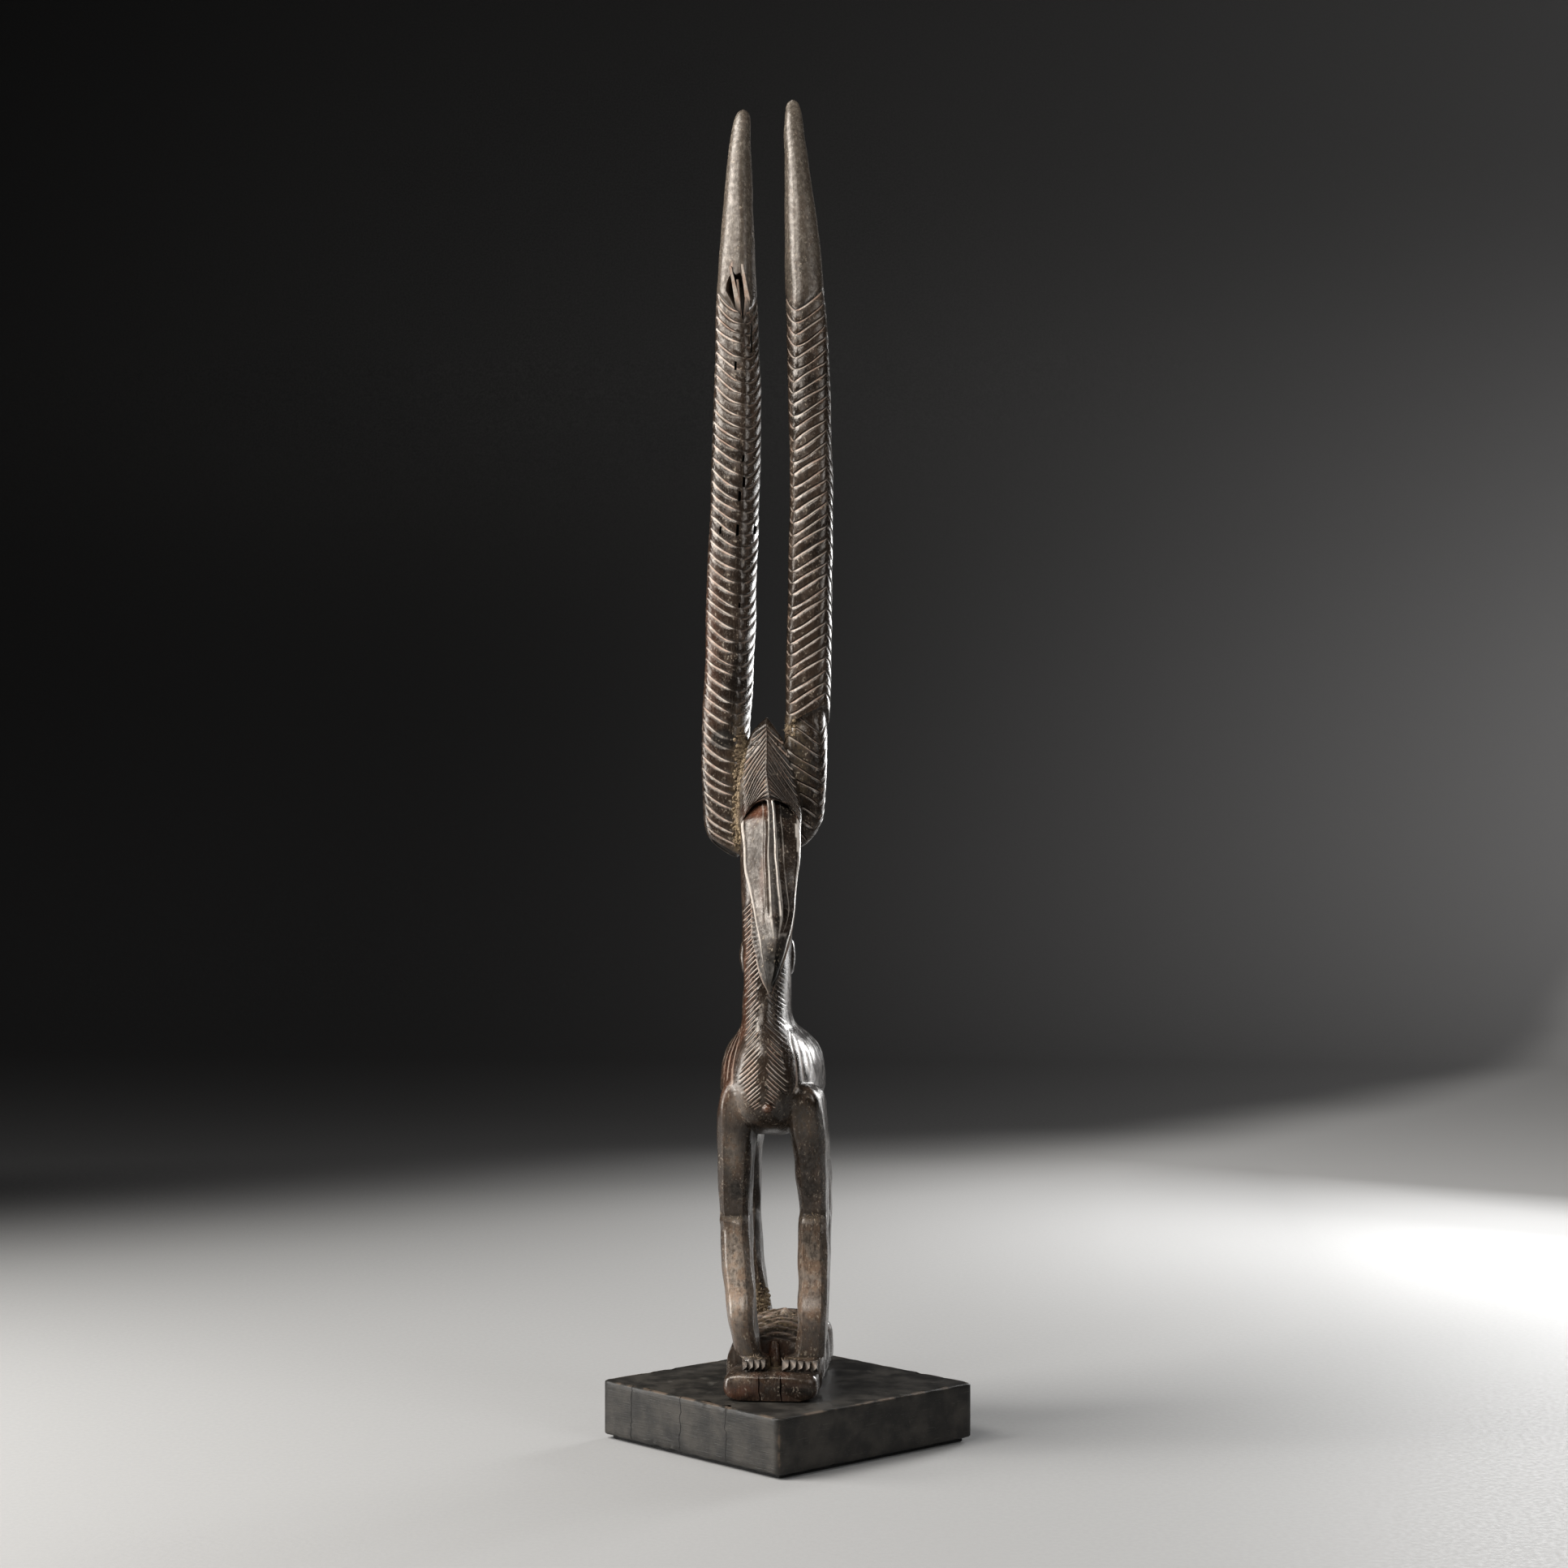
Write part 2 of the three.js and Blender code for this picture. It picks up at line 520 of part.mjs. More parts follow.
function toeNotches() {
  const cuts = [];
  FEET.forEach(([middle, half]) => {
    const pitch = half * 2 / TOE_COUNT;
    for (let i = 0; i < TOE_COUNT; i++) {
      cuts.push(toeNotch(middle - half + pitch * i, pitch * 0.95));
    }
  });
  return cuts;
}

// Cross section of the carved base: share of the half width, share of the height
const LOAF = [[-0.84, 0], [-0.97, 0.1], [-1, 0.34], [-0.98, 0.62], [-0.86, 0.82], [-0.48, 0.95], [0, 1]];
const BLOCK = [[-0.84, 0], [-0.97, 0.14], [-1, 0.45], [-0.985, 0.85], [-0.9, 1], [-0.45, 1], [0, 1]];

function baseRing(y, half, height, profile, cut) {
  const mirrored = profile.slice(0, -1).reverse().map(([u, v]) => [-u, v]);
  return [...profile, ...mirrored].map(([u, v]) => {
    const inset = v > 0 ? cut : 0;
    const shrink = 1 - inset / half;
    return [BASE_AXIS_X + u * half * shrink, y, Math.max(v * height - inset * v, 0)];
  });
}

function baseSolid() {
  const dome = curve(BASE_DOME);
  const [front, rear] = BASE_LENGTH;
  const half = BASE_FRONT_HALF;
  const low = BASE_FRONT_HEIGHT;
  const rings = [
    baseRing(front, half * 0.86, low * 0.8, BLOCK, 0),
    baseRing(front + 2, half * 0.95, low * 0.96, BLOCK, 0),
    baseRing(front + 7, half, low, BLOCK, 0),
    baseRing(BASE_STEP_Y - 6, half, low, BLOCK, 0),
    baseRing(BASE_STEP_Y - 1, half * 0.95, low, BLOCK, 0),
  ];
  const groove = inShares(RIB_GROOVE_WIDTH) / 2;
  const deep = inShares(RIB_GROOVE_DEPTH);
  const pitch = inShares(RIB_PITCH);
  const round = 8;
  for (let y = BASE_STEP_Y; y < rear - round; y += pitch) {
    const [height] = dome(y);
    if (y > BASE_STEP_Y) {
      rings.push(baseRing(y - groove, BASE_REAR_HALF, height, LOAF, deep * 0.15));
      rings.push(baseRing(y, BASE_REAR_HALF, height, LOAF, deep));
    }
    rings.push(baseRing(y + groove, BASE_REAR_HALF, height, LOAF, y > BASE_STEP_Y ? deep * 0.15 : deep));
    rings.push(baseRing(y + pitch / 2, BASE_REAR_HALF, dome(y + pitch / 2)[0], LOAF, 0));
  }
  rings.sort((a, b) => a[0][1] - b[0][1]);
  const kept = rings.filter((ring) => ring[0][1] < rear - round);
  kept.push(baseRing(rear - round, BASE_REAR_HALF * 0.97, dome(rear - round)[0], LOAF, 0));
  kept.push(baseRing(rear - 2.5, BASE_REAR_HALF * 0.86, dome(rear - 2.5)[0], LOAF, 0));
  kept.push(baseRing(rear, BASE_REAR_HALF * 0.7, dome(rear)[0] * 0.9, LOAF, 0));
  return carved(kept);
}

// Two upright slits in the front face of the base
function baseSlits() {
  const front = BASE_LENGTH[0];
  const half = inShares(SLIT_WIDTH) / 2;
  return SLITS_X.map((x) => {
    const section = [[x - half, front - 2], [x + half, front - 2], [x, front + inShares(SLIT_DEPTH)]];
    const level = (z) => section.map(([px, py]) => [px, py, z]);
    return carved([level(-1), level(BASE_FRONT_HEIGHT - 0.4)]);
  });
}

// Upright ridge in the middle of the step behind the front feet
function stepRidge() {
  const wide = 4;
  const foot = [[BASE_AXIS_X - wide, BASE_STEP_Y + 1], [BASE_AXIS_X + wide, BASE_STEP_Y + 1],
    [BASE_AXIS_X, BASE_STEP_Y - 6]];
  const top = [foot[0], foot[1], [BASE_AXIS_X, BASE_STEP_Y - 2]];
  return carved([foot.map(([x, y]) => [x, y, BASE_FRONT_HEIGHT - 2]), top.map(([x, y]) => [x, y, 31])]);
}

// A body of level sections: height, middle x, half width, front y, back y
function lump(rows, steps) {
  return carved(rows.map(([z, middle, half, front, back]) => {
    const ring = [];
    for (let i = 0; i < steps; i++) {
      const angle = (i + 0.5) / steps * 2 * Math.PI;
      const reach = Math.sin(angle);
      ring.push([middle + Math.cos(angle) * half, (front + back) / 2 + reach * (back - front) / 2, z]);
    }
    return ring;
  }));
}

// Young one behind the neck, plain: body, neck and head, then legs, ears and horns on both sides
function fawn() {
  const x = FAWN_X;
  const pieces = [
    lump([[226, x, 6, 24, 56], [230, x, 8.6, 20, 60], [238, x, 9, 19, 61], [243, x, 6.4, 22, 56]], 8),
    lump([[236, x, 7, 15, 36], [252, x, 6, 15, 31], [262, x, 7.4, 12, 34], [274, x, 6.6, 13, 34],
      [280, x, 4, 16, 30]], 8),
  ];
  for (const side of [-1, 1]) {
    pieces.push(fawnLeg(x + side * 5.4, 23), fawnLeg(x + side * 5.4, 48));
    pieces.push(lump([[257, x + side * 8, 4.5, 21, 30], [267, x + side * 8, 4.5, 21, 30]], 4));
    pieces.push(fawnEar(x, side), fawnHorn(x, side));
  }
  return pieces;
}

function fawnLeg(x, y) {
  return lump([[206, x, 3.4, y, y + 8], [218, x, 3, y + 1, y + 8], [232, x, 3.6, y, y + 9]], 4);
}

function fawnEar(x, side) {
  const rows = [[246, 10, 1.2], [251, 13.4, 3], [260, 14.4, 3.4], [269, 13.4, 3], [275, 9, 1.4]];
  return lump(rows.map(([z, away, half]) => [z, x + side * away, half, 22 - half / 2, 29 + half / 2]), 6);
}

function fawnHorn(x, side) {
  const rows = [[274, 3.8, 3.6, 25], [300, 5, 3, 27.6], [328, 6.2, 2.2, 30.4], [342, 6.6, 1, 31.8]];
  return lump(rows.map(([z, away, half, y]) => [z, x + side * away, half, y - half, y + half]), 5);
}

// Short tail lying against the rump
function tailSolid() {
  const rows = [[150, 79, 2.2], [160, 80.5, 3.4], [180, 79, 3.8], [198, 73, 3.4], [206, 66, 3]];
  return carved(rows.map(([z, y, half]) => [
    [-9 - half, y, z], [-9, y - half - 4, z], [-9 + half, y, z], [-9, y + half, z],
  ]));
}

function chestKnob() {
  const knob = new THREE.SphereGeometry(3.1 * SHARE, 8, 5);
  knob.translate(-5.9 * SHARE, -62.6 * SHARE, 174 * SHARE);
  return solidOf(knob);
}

function carvedFigure() {
  let body = trunkSolid();
  const parts = [
    headSolid(), jawSolid(), leftHorn(), rightHorn(), rightHornRoot(),
    legSolid(FRONT_LEG_LEFT), legSolid(FRONT_LEG_RIGHT), hindLeg(-1), hindLeg(1),
    baseSolid(), stepRidge(), tailSolid(), chestKnob(), ...fawn(),
  ];
  parts.forEach((part) => { body = body.add(part); });
  [hornSplit(), ...toeNotches(), ...baseSlits()].forEach((cut) => { body = body.subtract(cut); });
  body = body.add(splinter());
  const geometry = geometryOf(body);
  geometry.translate(0, 0, PAD_THICKNESS + SEAT_GAP + PLINTH_HEIGHT + SEAT_GAP);
  return geometry;
}

// Square slab with its top and bottom edges and its corners chamfered
function slab(side, height, edge) {
  const half = side / 2;
  const outline = (inset) => {
    const h = half - inset;
    const c = edge;
    return [[h, -h + c], [h, h - c], [h - c, h], [-h + c, h], [-h, h - c], [-h, -h + c], [-h + c, -h],
      [h - c, -h]];
  };
  const ring = (inset, z) => outline(inset).map(([x, y]) => [x, y, z]);
  const slabRings = [ring(edge, 0), ring(0, edge), ring(0, height - edge), ring(edge, height)];
  const geometry = geometryOf(solidOf(loft(slabRings)));
  geometry.rotateZ(THREE.MathUtils.degToRad(PLINTH_TURN));
  return geometry;
}

function wood(colour, roughness) {
  return new THREE.MeshStandardMaterial({ color: colour, roughness, metalness: 0 });
}

function mesh(name, geometry, material) {
  const piece = new THREE.Mesh(geometry, material);
  piece.name = name;
  return piece;
}

const carvedWood = wood(0x463a31, 0.42);
const plinthWood = wood(0x2e2b28, 0.5);
const padCloth = wood(0x121212, 0.95);

const object = new THREE.Group();
object.add(mesh('antelope_headdress', carvedFigure(), carvedWood));

const plinth = mesh('plinth', slab(PLINTH_SIDE, PLINTH_HEIGHT, PLINTH_EDGE), plinthWood);
plinth.position.z = PAD_THICKNESS + SEAT_GAP;
object.add(plinth);

const padEdge = PAD_THICKNESS / 5;
object.add(mesh('underside_pad', slab(PLINTH_SIDE - 2 * PAD_INSET, PAD_THICKNESS, padEdge), padCloth));

export default object;
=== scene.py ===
"""Carved antelope headdress on its dark plinth: the looks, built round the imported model.

The figure is carved here in millimetres above its own foot, from nearly the same tables of outlines
as its solid, and then set in metres on the plinth. Left and right are the viewer's.
"""

import math

import bpy
import numpy as np
from bpy.props import FloatProperty, FloatVectorProperty, IntProperty, PointerProperty
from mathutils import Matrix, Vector, kdtree


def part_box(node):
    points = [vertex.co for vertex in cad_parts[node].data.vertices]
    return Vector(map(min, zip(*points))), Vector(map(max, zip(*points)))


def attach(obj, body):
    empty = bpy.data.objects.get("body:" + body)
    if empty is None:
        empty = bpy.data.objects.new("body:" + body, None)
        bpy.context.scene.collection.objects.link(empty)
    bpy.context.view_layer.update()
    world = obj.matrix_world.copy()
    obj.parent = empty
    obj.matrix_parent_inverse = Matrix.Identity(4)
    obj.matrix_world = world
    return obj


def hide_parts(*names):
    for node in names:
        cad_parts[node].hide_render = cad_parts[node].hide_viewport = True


bl_info = {
    "name": "Carved antelope headdress",
    "version": (1, 0, 0),
    "blender": (4, 5, 0),
    "location": "3D View > Sidebar > Headdress",
    "description": "Carves and finishes an antelope headdress on its plinth",
    "category": "Object",
}

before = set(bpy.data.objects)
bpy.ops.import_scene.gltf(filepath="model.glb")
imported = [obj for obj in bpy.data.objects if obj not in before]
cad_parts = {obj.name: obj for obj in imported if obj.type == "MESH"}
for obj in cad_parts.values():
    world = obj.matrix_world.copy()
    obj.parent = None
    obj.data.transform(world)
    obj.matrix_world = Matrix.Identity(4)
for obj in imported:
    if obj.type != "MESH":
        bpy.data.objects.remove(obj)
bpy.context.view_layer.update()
PLINTH_LOW, PLINTH_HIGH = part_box("plinth")
FIGURE_LOW, FIGURE_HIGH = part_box("antelope_headdress")

# Horn outlines: height, middle x, half width
LEFT_HORN = [
    (317, -25, 4), (322, -28.5, 8), (330, -33, 12), (338, -36, 14), (347, -37, 15),
    (374, -38, 15.4), (401, -38.7, 14.2), (437, -37, 14.5), (492, -35.5, 14.7), (547, -34.1, 14.5),
    (602, -33.1, 14), (639, -33.6, 13), (676, -34.3, 11.8), (714, -34.4, 10.2), (752, -34.3, 8),
    (781, -33.3, 6), (788, -32.8, 5.1), (791.4, -32.5, 4.1), (793, -32.5, 2.9), (793.8, -32.4, 1),
]
RIGHT_HORN = [
    (398, 11, 13.4), (419, 12.4, 13.8), (437, 12.4, 14.1), (492, 13.3, 13.9), (547, 13.5, 13.5),
    (602, 12.1, 13.4), (639, 10.5, 12.7), (676, 8.6, 11.7), (714, 5.8, 10.4), (752, 2.7, 7.9),
    (780, 0.5, 6.1), (792, -0.4, 5), (796.4, -0.8, 4.1), (798.8, -0.9, 2.9), (800, -1, 1),
]
RIGHT_ROOT = [
    (325, 0, 4), (330, 3, 8.4), (338, 5.8, 12.2), (347, 8, 13.6), (374, 9.9, 13.8), (398, 10.9, 13),
    (406, 11.4, 12), (412, 11.8, 11.4), (417, 12, 10.6),
]
# Both horns: height, depth of the middle, half depth
HORN_DEPTH = [
    (317, 6, 6), (330, 7, 10), (347, 8, 12), (401, 8.7, 13.4), (474, 11, 13.8), (565, 17, 13),
    (658, 27, 11), (714, 35, 9.4), (761, 43, 7.2), (790, 48, 4), (800, 50, 1.2),
]
HORN_SECTION_POWER = 2.9
# Turn of each horn's section in degrees, against height
LEFT_CORNERS = [(317, 30), (560, 30), (794, 30)]
RIGHT_CORNERS = [(399, 44), (540, 44), (600, 37), (650, 27), (700, 25), (800, 25)]
RIGHT_ROOT_CORNERS = [(325, 134), (399, 134), (417, 134)]
# Strokes of the horns, in millimetres
HORN_STROKE_RISE = 13
HORN_STROKES_TOP = 662
RIGHT_HORN_START = 399
ROOT_TUCK = 1.8

# Split in the left horn, and the splinters left standing in it
SPLIT_RIM = [(-41.5, 676), (-41, 681), (-39.6, 685), (-37, 690), (-34.5, 687), (-31, 688.5), (-28, 681),
             (-26, 676), (-25.6, 669), (-24.5, 664), (-26.5, 659), (-28, 656), (-31, 661), (-34, 664),
             (-37, 669)]
SPLIT_DEPTHS = (14, 34)
SPLINTERS = [
    [(-33.4, 656), (-30.6, 656), (-31, 668), (-36.8, 691), (-38, 691), (-34, 668)],
    [(-28.8, 656), (-25.4, 656), (-25.2, 670), (-29.6, 692), (-30.8, 692), (-28, 670)],
    [(-31.2, 657), (-29.4, 657), (-32.4, 683), (-33.6, 683)],
]

# Neck and body: height, middle x, half width, front y, back y, squareness of the section
TRUNK = [
    (155, -8.4, 15, -36, 48, 2.2), (157, -8.5, 20, -45, 57, 2.2), (163, -8.9, 26.4, -55, 67, 2.2),
    (172, -9, 30, -62, 73, 2.2), (184, -9, 31.4, -64.5, 75, 2.3), (195, -9, 30.6, -63.6, 74, 2.3),
    (204, -9.2, 28, -61.8, 69, 2.2), (211, -9.6, 23.6, -58.5, 60, 2.2), (216, -10, 19.4, -54.5, 45, 2.2),
    (221, -10.7, 16, -50.5, 30, 2.2), (227, -10.9, 14.9, -47.5, 22, 2.2), (240, -11, 14.6, -43.5, 17, 2.2),
    (266, -11.3, 14.8, -37.5, 14, 2.2), (300, -12, 15.4, -31, 14, 2.2), (340, -12.6, 16, -22, 15, 2.2),
    (372, -12.8, 15, -12, 16, 2.2), (392, -13, 11, -5, 15, 2.1), (401, -13.2, 6, 0, 12, 2),
]
# Band of strokes down the neck and chest: height, half width
BIB = [(155, 6), (168, 6), (178, 7), (190, 11), (202, 15), (214, 14.6), (227, 13.2), (300, 13.6),
       (326, 13), (372, 2), (401, 0.5)]
BIB_SLOPE = 0.95
BIB_LEVEL_OUT = (158, 190)
LINES_END = 1.3
NECK_STROKES = (171, 303)

# Head: outlines against height
HEAD_LEFT = [
    (245, -3.6), (247, -3.9), (253, -4.8), (268, -9.3), (284, -13.2), (300, -17.9), (316, -22.2),
    (332, -24.4), (345, -26.6), (356, -27.8), (364, -28.8), (373, -29.2), (381, -28.8), (390, -26.6),
    (398, -22.8), (406, -16.6), (409, -13.8),
]
HEAD_RIGHT = [
    (245, -2), (248, -1.6), (254, 1.2), (265, 4.4), (276, 7), (284, 8.8), (300, 9.7), (316, 10.5),
    (332, 10.9), (348, 10.3), (356, 9), (364, 7.3), (373, 5.2), (381, 3.2), (390, -0.6), (398, -4.4),
    (406, -10), (409, -12.6),
]
HEAD_RIDGE = [
    (245, -2.5, -87.6), (250, -1.8, -86.6), (265, 0.2, -80.2), (287, 0.2, -68.4), (304, -1.6, -59.4),
    (322, -4.2, -49.2), (350, -6.9, -32.4), (358, -8.4, -27.8), (370, -10.2, -20.6), (382, -11.3, -13),
    (395, -12.5, -5), (402, -13, -1), (409, -13.2, 3.6),
]
HEAD_EDGE_Y = [
    (245, -86.4), (250, -84.6), (265, -74.5), (284, -62.5), (302, -51), (322, -39.5), (346, -23.5),
    (358, -14), (370, -7), (382, -2.5), (395, 1), (402, 3), (409, 5),
]
HEAD_BACK_Y = [
    (245, -85), (250, -80.5), (265, -65), (284, -47), (297, -34), (306, -20), (316, -4), (330, 8),
    (370, 14), (395, 13), (409, 8),
]
SKULL_SIDES = [
    (245, -0.3, -0.3), (300, -3, -3), (330, -1, -2.4), (345, 2.5, -1.4), (358, 4, -1), (372, 3.5, -0.6),
    (390, 1.5, 0), (409, -0.5, -0.5),
]
CREST_LEVEL = 409
BROW_LEVEL = 358.6
BROW_OVERHANG = 5
HAIR_DROPS = [  # level at the ridge, drop of the brow's arch, drop of the hair's slope, at the face's edge
    (245, 0, 0), (300, 0, 0), (330, 5, 0), (358.6, 12, 0), (364, 8, 12), (374, 5, 24), (386, 3, 28),
    (396, 2, 22), (402, 1, 12), (406, 0, 5), (409, 0, 0),
]
BAR_HALF = [(245, 3.3), (288, 3.3), (300, 3.1), (330, 2.3), (356, 1.6), (409, 1.4)]
BAR_SHIFT = [(245, -0.9), (288, -0.9), (320, -0.4), (356, 0), (409, 0)]
BAR_FLANK = 3.8
NOSE_END = 288
NOSE_BAR = 0.16
NOSE_PROUD = 1.8
NOSE_GROOVE = 2.4
CHEEK_CREST = 0.36
HAIR_TOP = 404

# Lower jaw: height, left x, right x, front y, back y
JAW = [
    (243.5, -3.4, -1.6, -84.2, -81.6), (250, -6.6, 0.4, -83, -76), (262, -11.4, 4.4, -75, -64),
    (274, -15.4, 7.2, -66.5, -53), (288, -17.4, 8.6, -57, -41), (300, -18.4, 9, -46, -30),
]

# Legs: height, middle x, half width, front y, back y
FRONT_LEG_LEFT = [
    (15, -14.8, 8, -60, -34), (23, -15.2, 8, -58, -32), (24.6, -19.2, 7.8, -53.5, -31),
    (34, -21.6, 7.6, -54, -30), (47, -24, 8.5, -55.5, -28), (62, -25.8, 9.2, -49.5, -22),
    (78, -27.5, 9.3, -45, -17), (103.4, -29.2, 9.2, -39.4, -10.5), (106.6, -29.3, 9, -36.4, -10),
    (136, -28.5, 10.3, -44, -13), (158, -28, 10.9, -50, -16), (172, -27.4, 10.6, -54.5, -18),
    (181, -27, 9.8, -55.4, -20), (187, -26.4, 8, -54, -23), (190.5, -26, 4.6, -51, -26),
]
FRONT_LEG_RIGHT = [
    (15, 13.4, 11.4, -60, -34), (23, 13.6, 11.2, -58, -32), (24.6, 17, 9.2, -53.5, -31),
    (34, 18.6, 8.6, -54, -30), (47, 19.5, 8.8, -55.5, -28), (62, 19.2, 8.9, -49.5, -22),
    (78, 18.9, 8.9, -45, -17), (104.8, 18.4, 8.9, -39.4, -10.5), (108, 18.4, 8.7, -36.4, -10),
    (136, 17.6, 9.6, -44, -13), (158, 16, 11.2, -50, -16), (172, 14.4, 11.6, -54.5, -18),
    (179, 14.2, 11, -55.6, -20), (184, 13.8, 9, -54.6, -23), (187, 13, 5.4, -52, -26),
]
HIND_LEGS = [  # height, left middle x, right middle x, half width, front y, back y
    (30, -21.5, 13, 7.6, 34, 60), (42, -23, 14.2, 7.8, 34, 58), (54, -25, 14.8, 8, 32, 56),
    (66, -26.8, 14.7, 8, 36, 60), (96, -30, 15.2, 8, 46, 68), (99, -30, 15.2, 8, 48, 69),
    (128, -29.6, 14, 8.4, 36, 66), (152, -27.6, 12.4, 8.8, 28, 68), (176, -24, 8.8, 8.4, 24, 66),
]
FEET = [(-14.4, 7.6, 4), (13.3, 11.2, 5)]  # middle x, half width, toes
TOES_Y = -60
TOES_Z = 20.2
TOE_HALF_HEIGHT = 3.3
TOE_REACH = 3.4
# Legs: gap of their levels, squareness, unevenness, and how far the left front one turns
LEG_LEVEL_GAP = 3
FACET_SHARPNESS = 0.56
LEFT_LEG_TURN = 3.4
LEG_UNEVENNESS = 0.22

# Carved base under the feet
BASE_AXIS_X = -4.6
BASE_LENGTH = (-66.5, 63.5)
BASE_STEP_Y = -37.5
BASE_FRONT_HEIGHT = 16.8
BASE_FRONT_HALF = 29.2
BASE_REAR_HALF = 29.8
RIB_PITCH = 25
SLITS = [(-10.5, 0.9), (2.6, 1.1)]  # x, width
BASE_DOME = [
    (-37.5, 32.5), (-20, 36), (10, 38.5), (35, 38.5), (52, 35), (60, 28), (63.5, 18),
]
LOAF = [(-0.84, 0), (-0.97, 0.1), (-1, 0.34), (-0.98, 0.62), (-0.86, 0.82), (-0.48, 0.95), (0, 1)]
BLOCK = [(-0.76, 0), (-0.94, 0.15), (-1, 0.42), (-0.98, 0.72), (-0.88, 0.92), (-0.6, 0.99), (0, 1)]

BASE_NEAR = [  # distance from the front end, share of the width, share of the height, raised underside
    (0, 0.78, 0.8, 0.6), (0.8, 0.87, 0.89, 0.3), (2.4, 0.93, 0.95, 0.12), (5, 0.97, 0.985, 0.04),
    (8.5, 0.99, 1, 0), (12.5, 1, 1, 0),
]
# From the rear end, share of the width
BASE_FAR = [(-8, 0.97), (-4, 0.92), (-2.5, 0.86), (-1, 0.78), (0, 0.7)]
GROOVE_DEPTH = 3.2
# Ridge in the step: height, half width, reach
RIDGE_LEVELS = [(14.8, 4.4, 6.2), (20, 4, 5), (25, 3.5, 3.8), (29, 3, 2.8), (31, 2.4, 2)]

YOUNG_X = -14.4
# Body and neck of the young one: height, half width, front y, back y
YOUNG_BODY = [(225, 6, 22, 58), (230, 8.8, 19.6, 60.4), (238, 9.2, 18.6, 61.4), (244, 6.4, 21, 57)]
YOUNG_NECK = [
    (235, 7, 15, 36), (252, 6, 15, 31), (262, 7.6, 11.6, 34.4), (274, 6.8, 12.6, 34.4), (281, 4, 15, 31),
]
# Its ears: height, distance from its middle, half width
YOUNG_EAR = [(245, 10, 1.2), (251, 13.4, 3), (260, 14.4, 3.4), (269, 13.4, 3), (276, 9, 1.4)]
# Its horns: height, distance from its middle, half width, y
YOUNG_HORN = [(273, 3.8, 3.6, 25), (300, 5, 3, 27.6), (328, 6.2, 2.2, 30.4), (343, 6.6, 1, 31.8)]

# Tail: height, y, half width
TAIL = [(150, 79, 2.2), (160, 80.5, 3.4), (180, 79, 3.8), (198, 73, 3.4), (206, 66, 3)]
TAIL_X = -9
# Knob on the chest
KNOB_CENTRE, KNOB_RADII = (-5.9, -62.6, 174), (3.2, 3.4, 3.0)

# Plinth, in metres: its turn in degrees, and the place and half width of cracks along its front left face
PLINTH_TURN = 47.8
CRACKS = [(-0.053, 0.0005), (-0.007, 0.0004), (0.034, 0.0003)]

# Short slots in the left horn: x, height, half width, half height
SLOTS = [
    (-23.6, 646, 0.7, 12), (-33.2, 627.6, 1.0, 3.0), (-27.4, 569.5, 0.9, 2.4), (-26.9, 554.6, 1.1, 3.6),
    (-29.6, 545.6, 1.1, 3.4), (-30.8, 524.4, 1.2, 4.0), (-41.9, 524.6, 0.9, 2.6), (-21.4, 525.2, 1.0, 3.2),
    (-29.4, 478.0, 0.7, 1.8),
]

# Rows along a stroke, as shares of its pitch; then the pitch itself and how far it strays
HORN_PHASES = (0, 0.04, 0.1, 0.4, 0.62, 0.72, 0.8, 0.87, 0.94)
HORN_JITTER = 0.45
NECK_PHASES, NECK_PITCH, NECK_JITTER = (0, 0.15, 0.38, 0.64, 0.8, 0.9), 3.0, 0.25
HAIR_PHASES, HAIR_PITCH, HAIR_JITTER = (0, 0.12, 0.26, 0.42, 0.58, 0.7, 0.82), 2.9, 0.3
HORN_COLUMNS = (16, 9, 8, 9)  # on each face of a horn
HORN_WOBBLE = 0.5
# Tip of a horn: how round its section grows, and the strokes' rises and the levels near the end
TIP_ROUNDING, TIP_ROUNDED = 0.65, (655, 735)
PLAIN_RISES = [(6, 0.85), (14, 0.6), (22, 0.45), (32, 0.3), (44, 0.12)]
TIP_DROPS = (11, 9, 7, 5.2, 3.8, 2.6, 1.6, 0.8, 0.3, 0)
# Levels at the foot of the body, lines on its shoulders and columns of half the face
TRUNK_FOOT = [155, 155.6, 156.4, 157.6, 159, 161, 163, 165, 167, 169.2]
BORDER_LINES = (1.07, 1.13, 1.19, 1.26)  # beyond the bib's edge, which is at 1
BETWEEN_LINES = (1.04, 1.1, 1.16, 1.225)
FACE_COLUMNS = [0.04, 0.09, 0.13, NOSE_BAR, 0.178, 0.2, 0.23, 0.28, 0.33, CHEEK_CREST, 0.39]

# Surface of the whole figure: masks it keeps, seams, unevenness, and edges kept sharp in degrees
MASKS = ("cut", "crevice", "strength", "rubbed")
SOFT_SEAMS = [  # centre and reach of the places where parts of the carving flow into each other
    ((-28, -48, 183), (14, 20, 12)), ((16, -48, 181), (14, 20, 11)), ((-7, -46, 158), (22, 16, 8)),
    ((-24, 40, 160), (12, 30, 18)), ((9, 40, 160), (12, 30, 18)), ((-9, 66, 200), (8, 14, 12)),
    ((-14, 30, 206), (14, 34, 6)), ((-30, 2, 352), (5, 12, 44)), ((12, 5, 405), (18, 20, 8)),
    ((-5.9, -62, 174), (6, 5, 5)), ((-14.4, 26, 236), (12, 18, 8)),
]
FIGURE_HEIGHT = 800
SEAM_ROUNDS = 30
SWELL_SIZE, SWELL = 16, 0.28
FACET_SIZE, FACETS, LOW_FACETS = 6.5, 0.13, 0.07
FIGURE_SHARP, PLINTH_SHARP = 42, 35

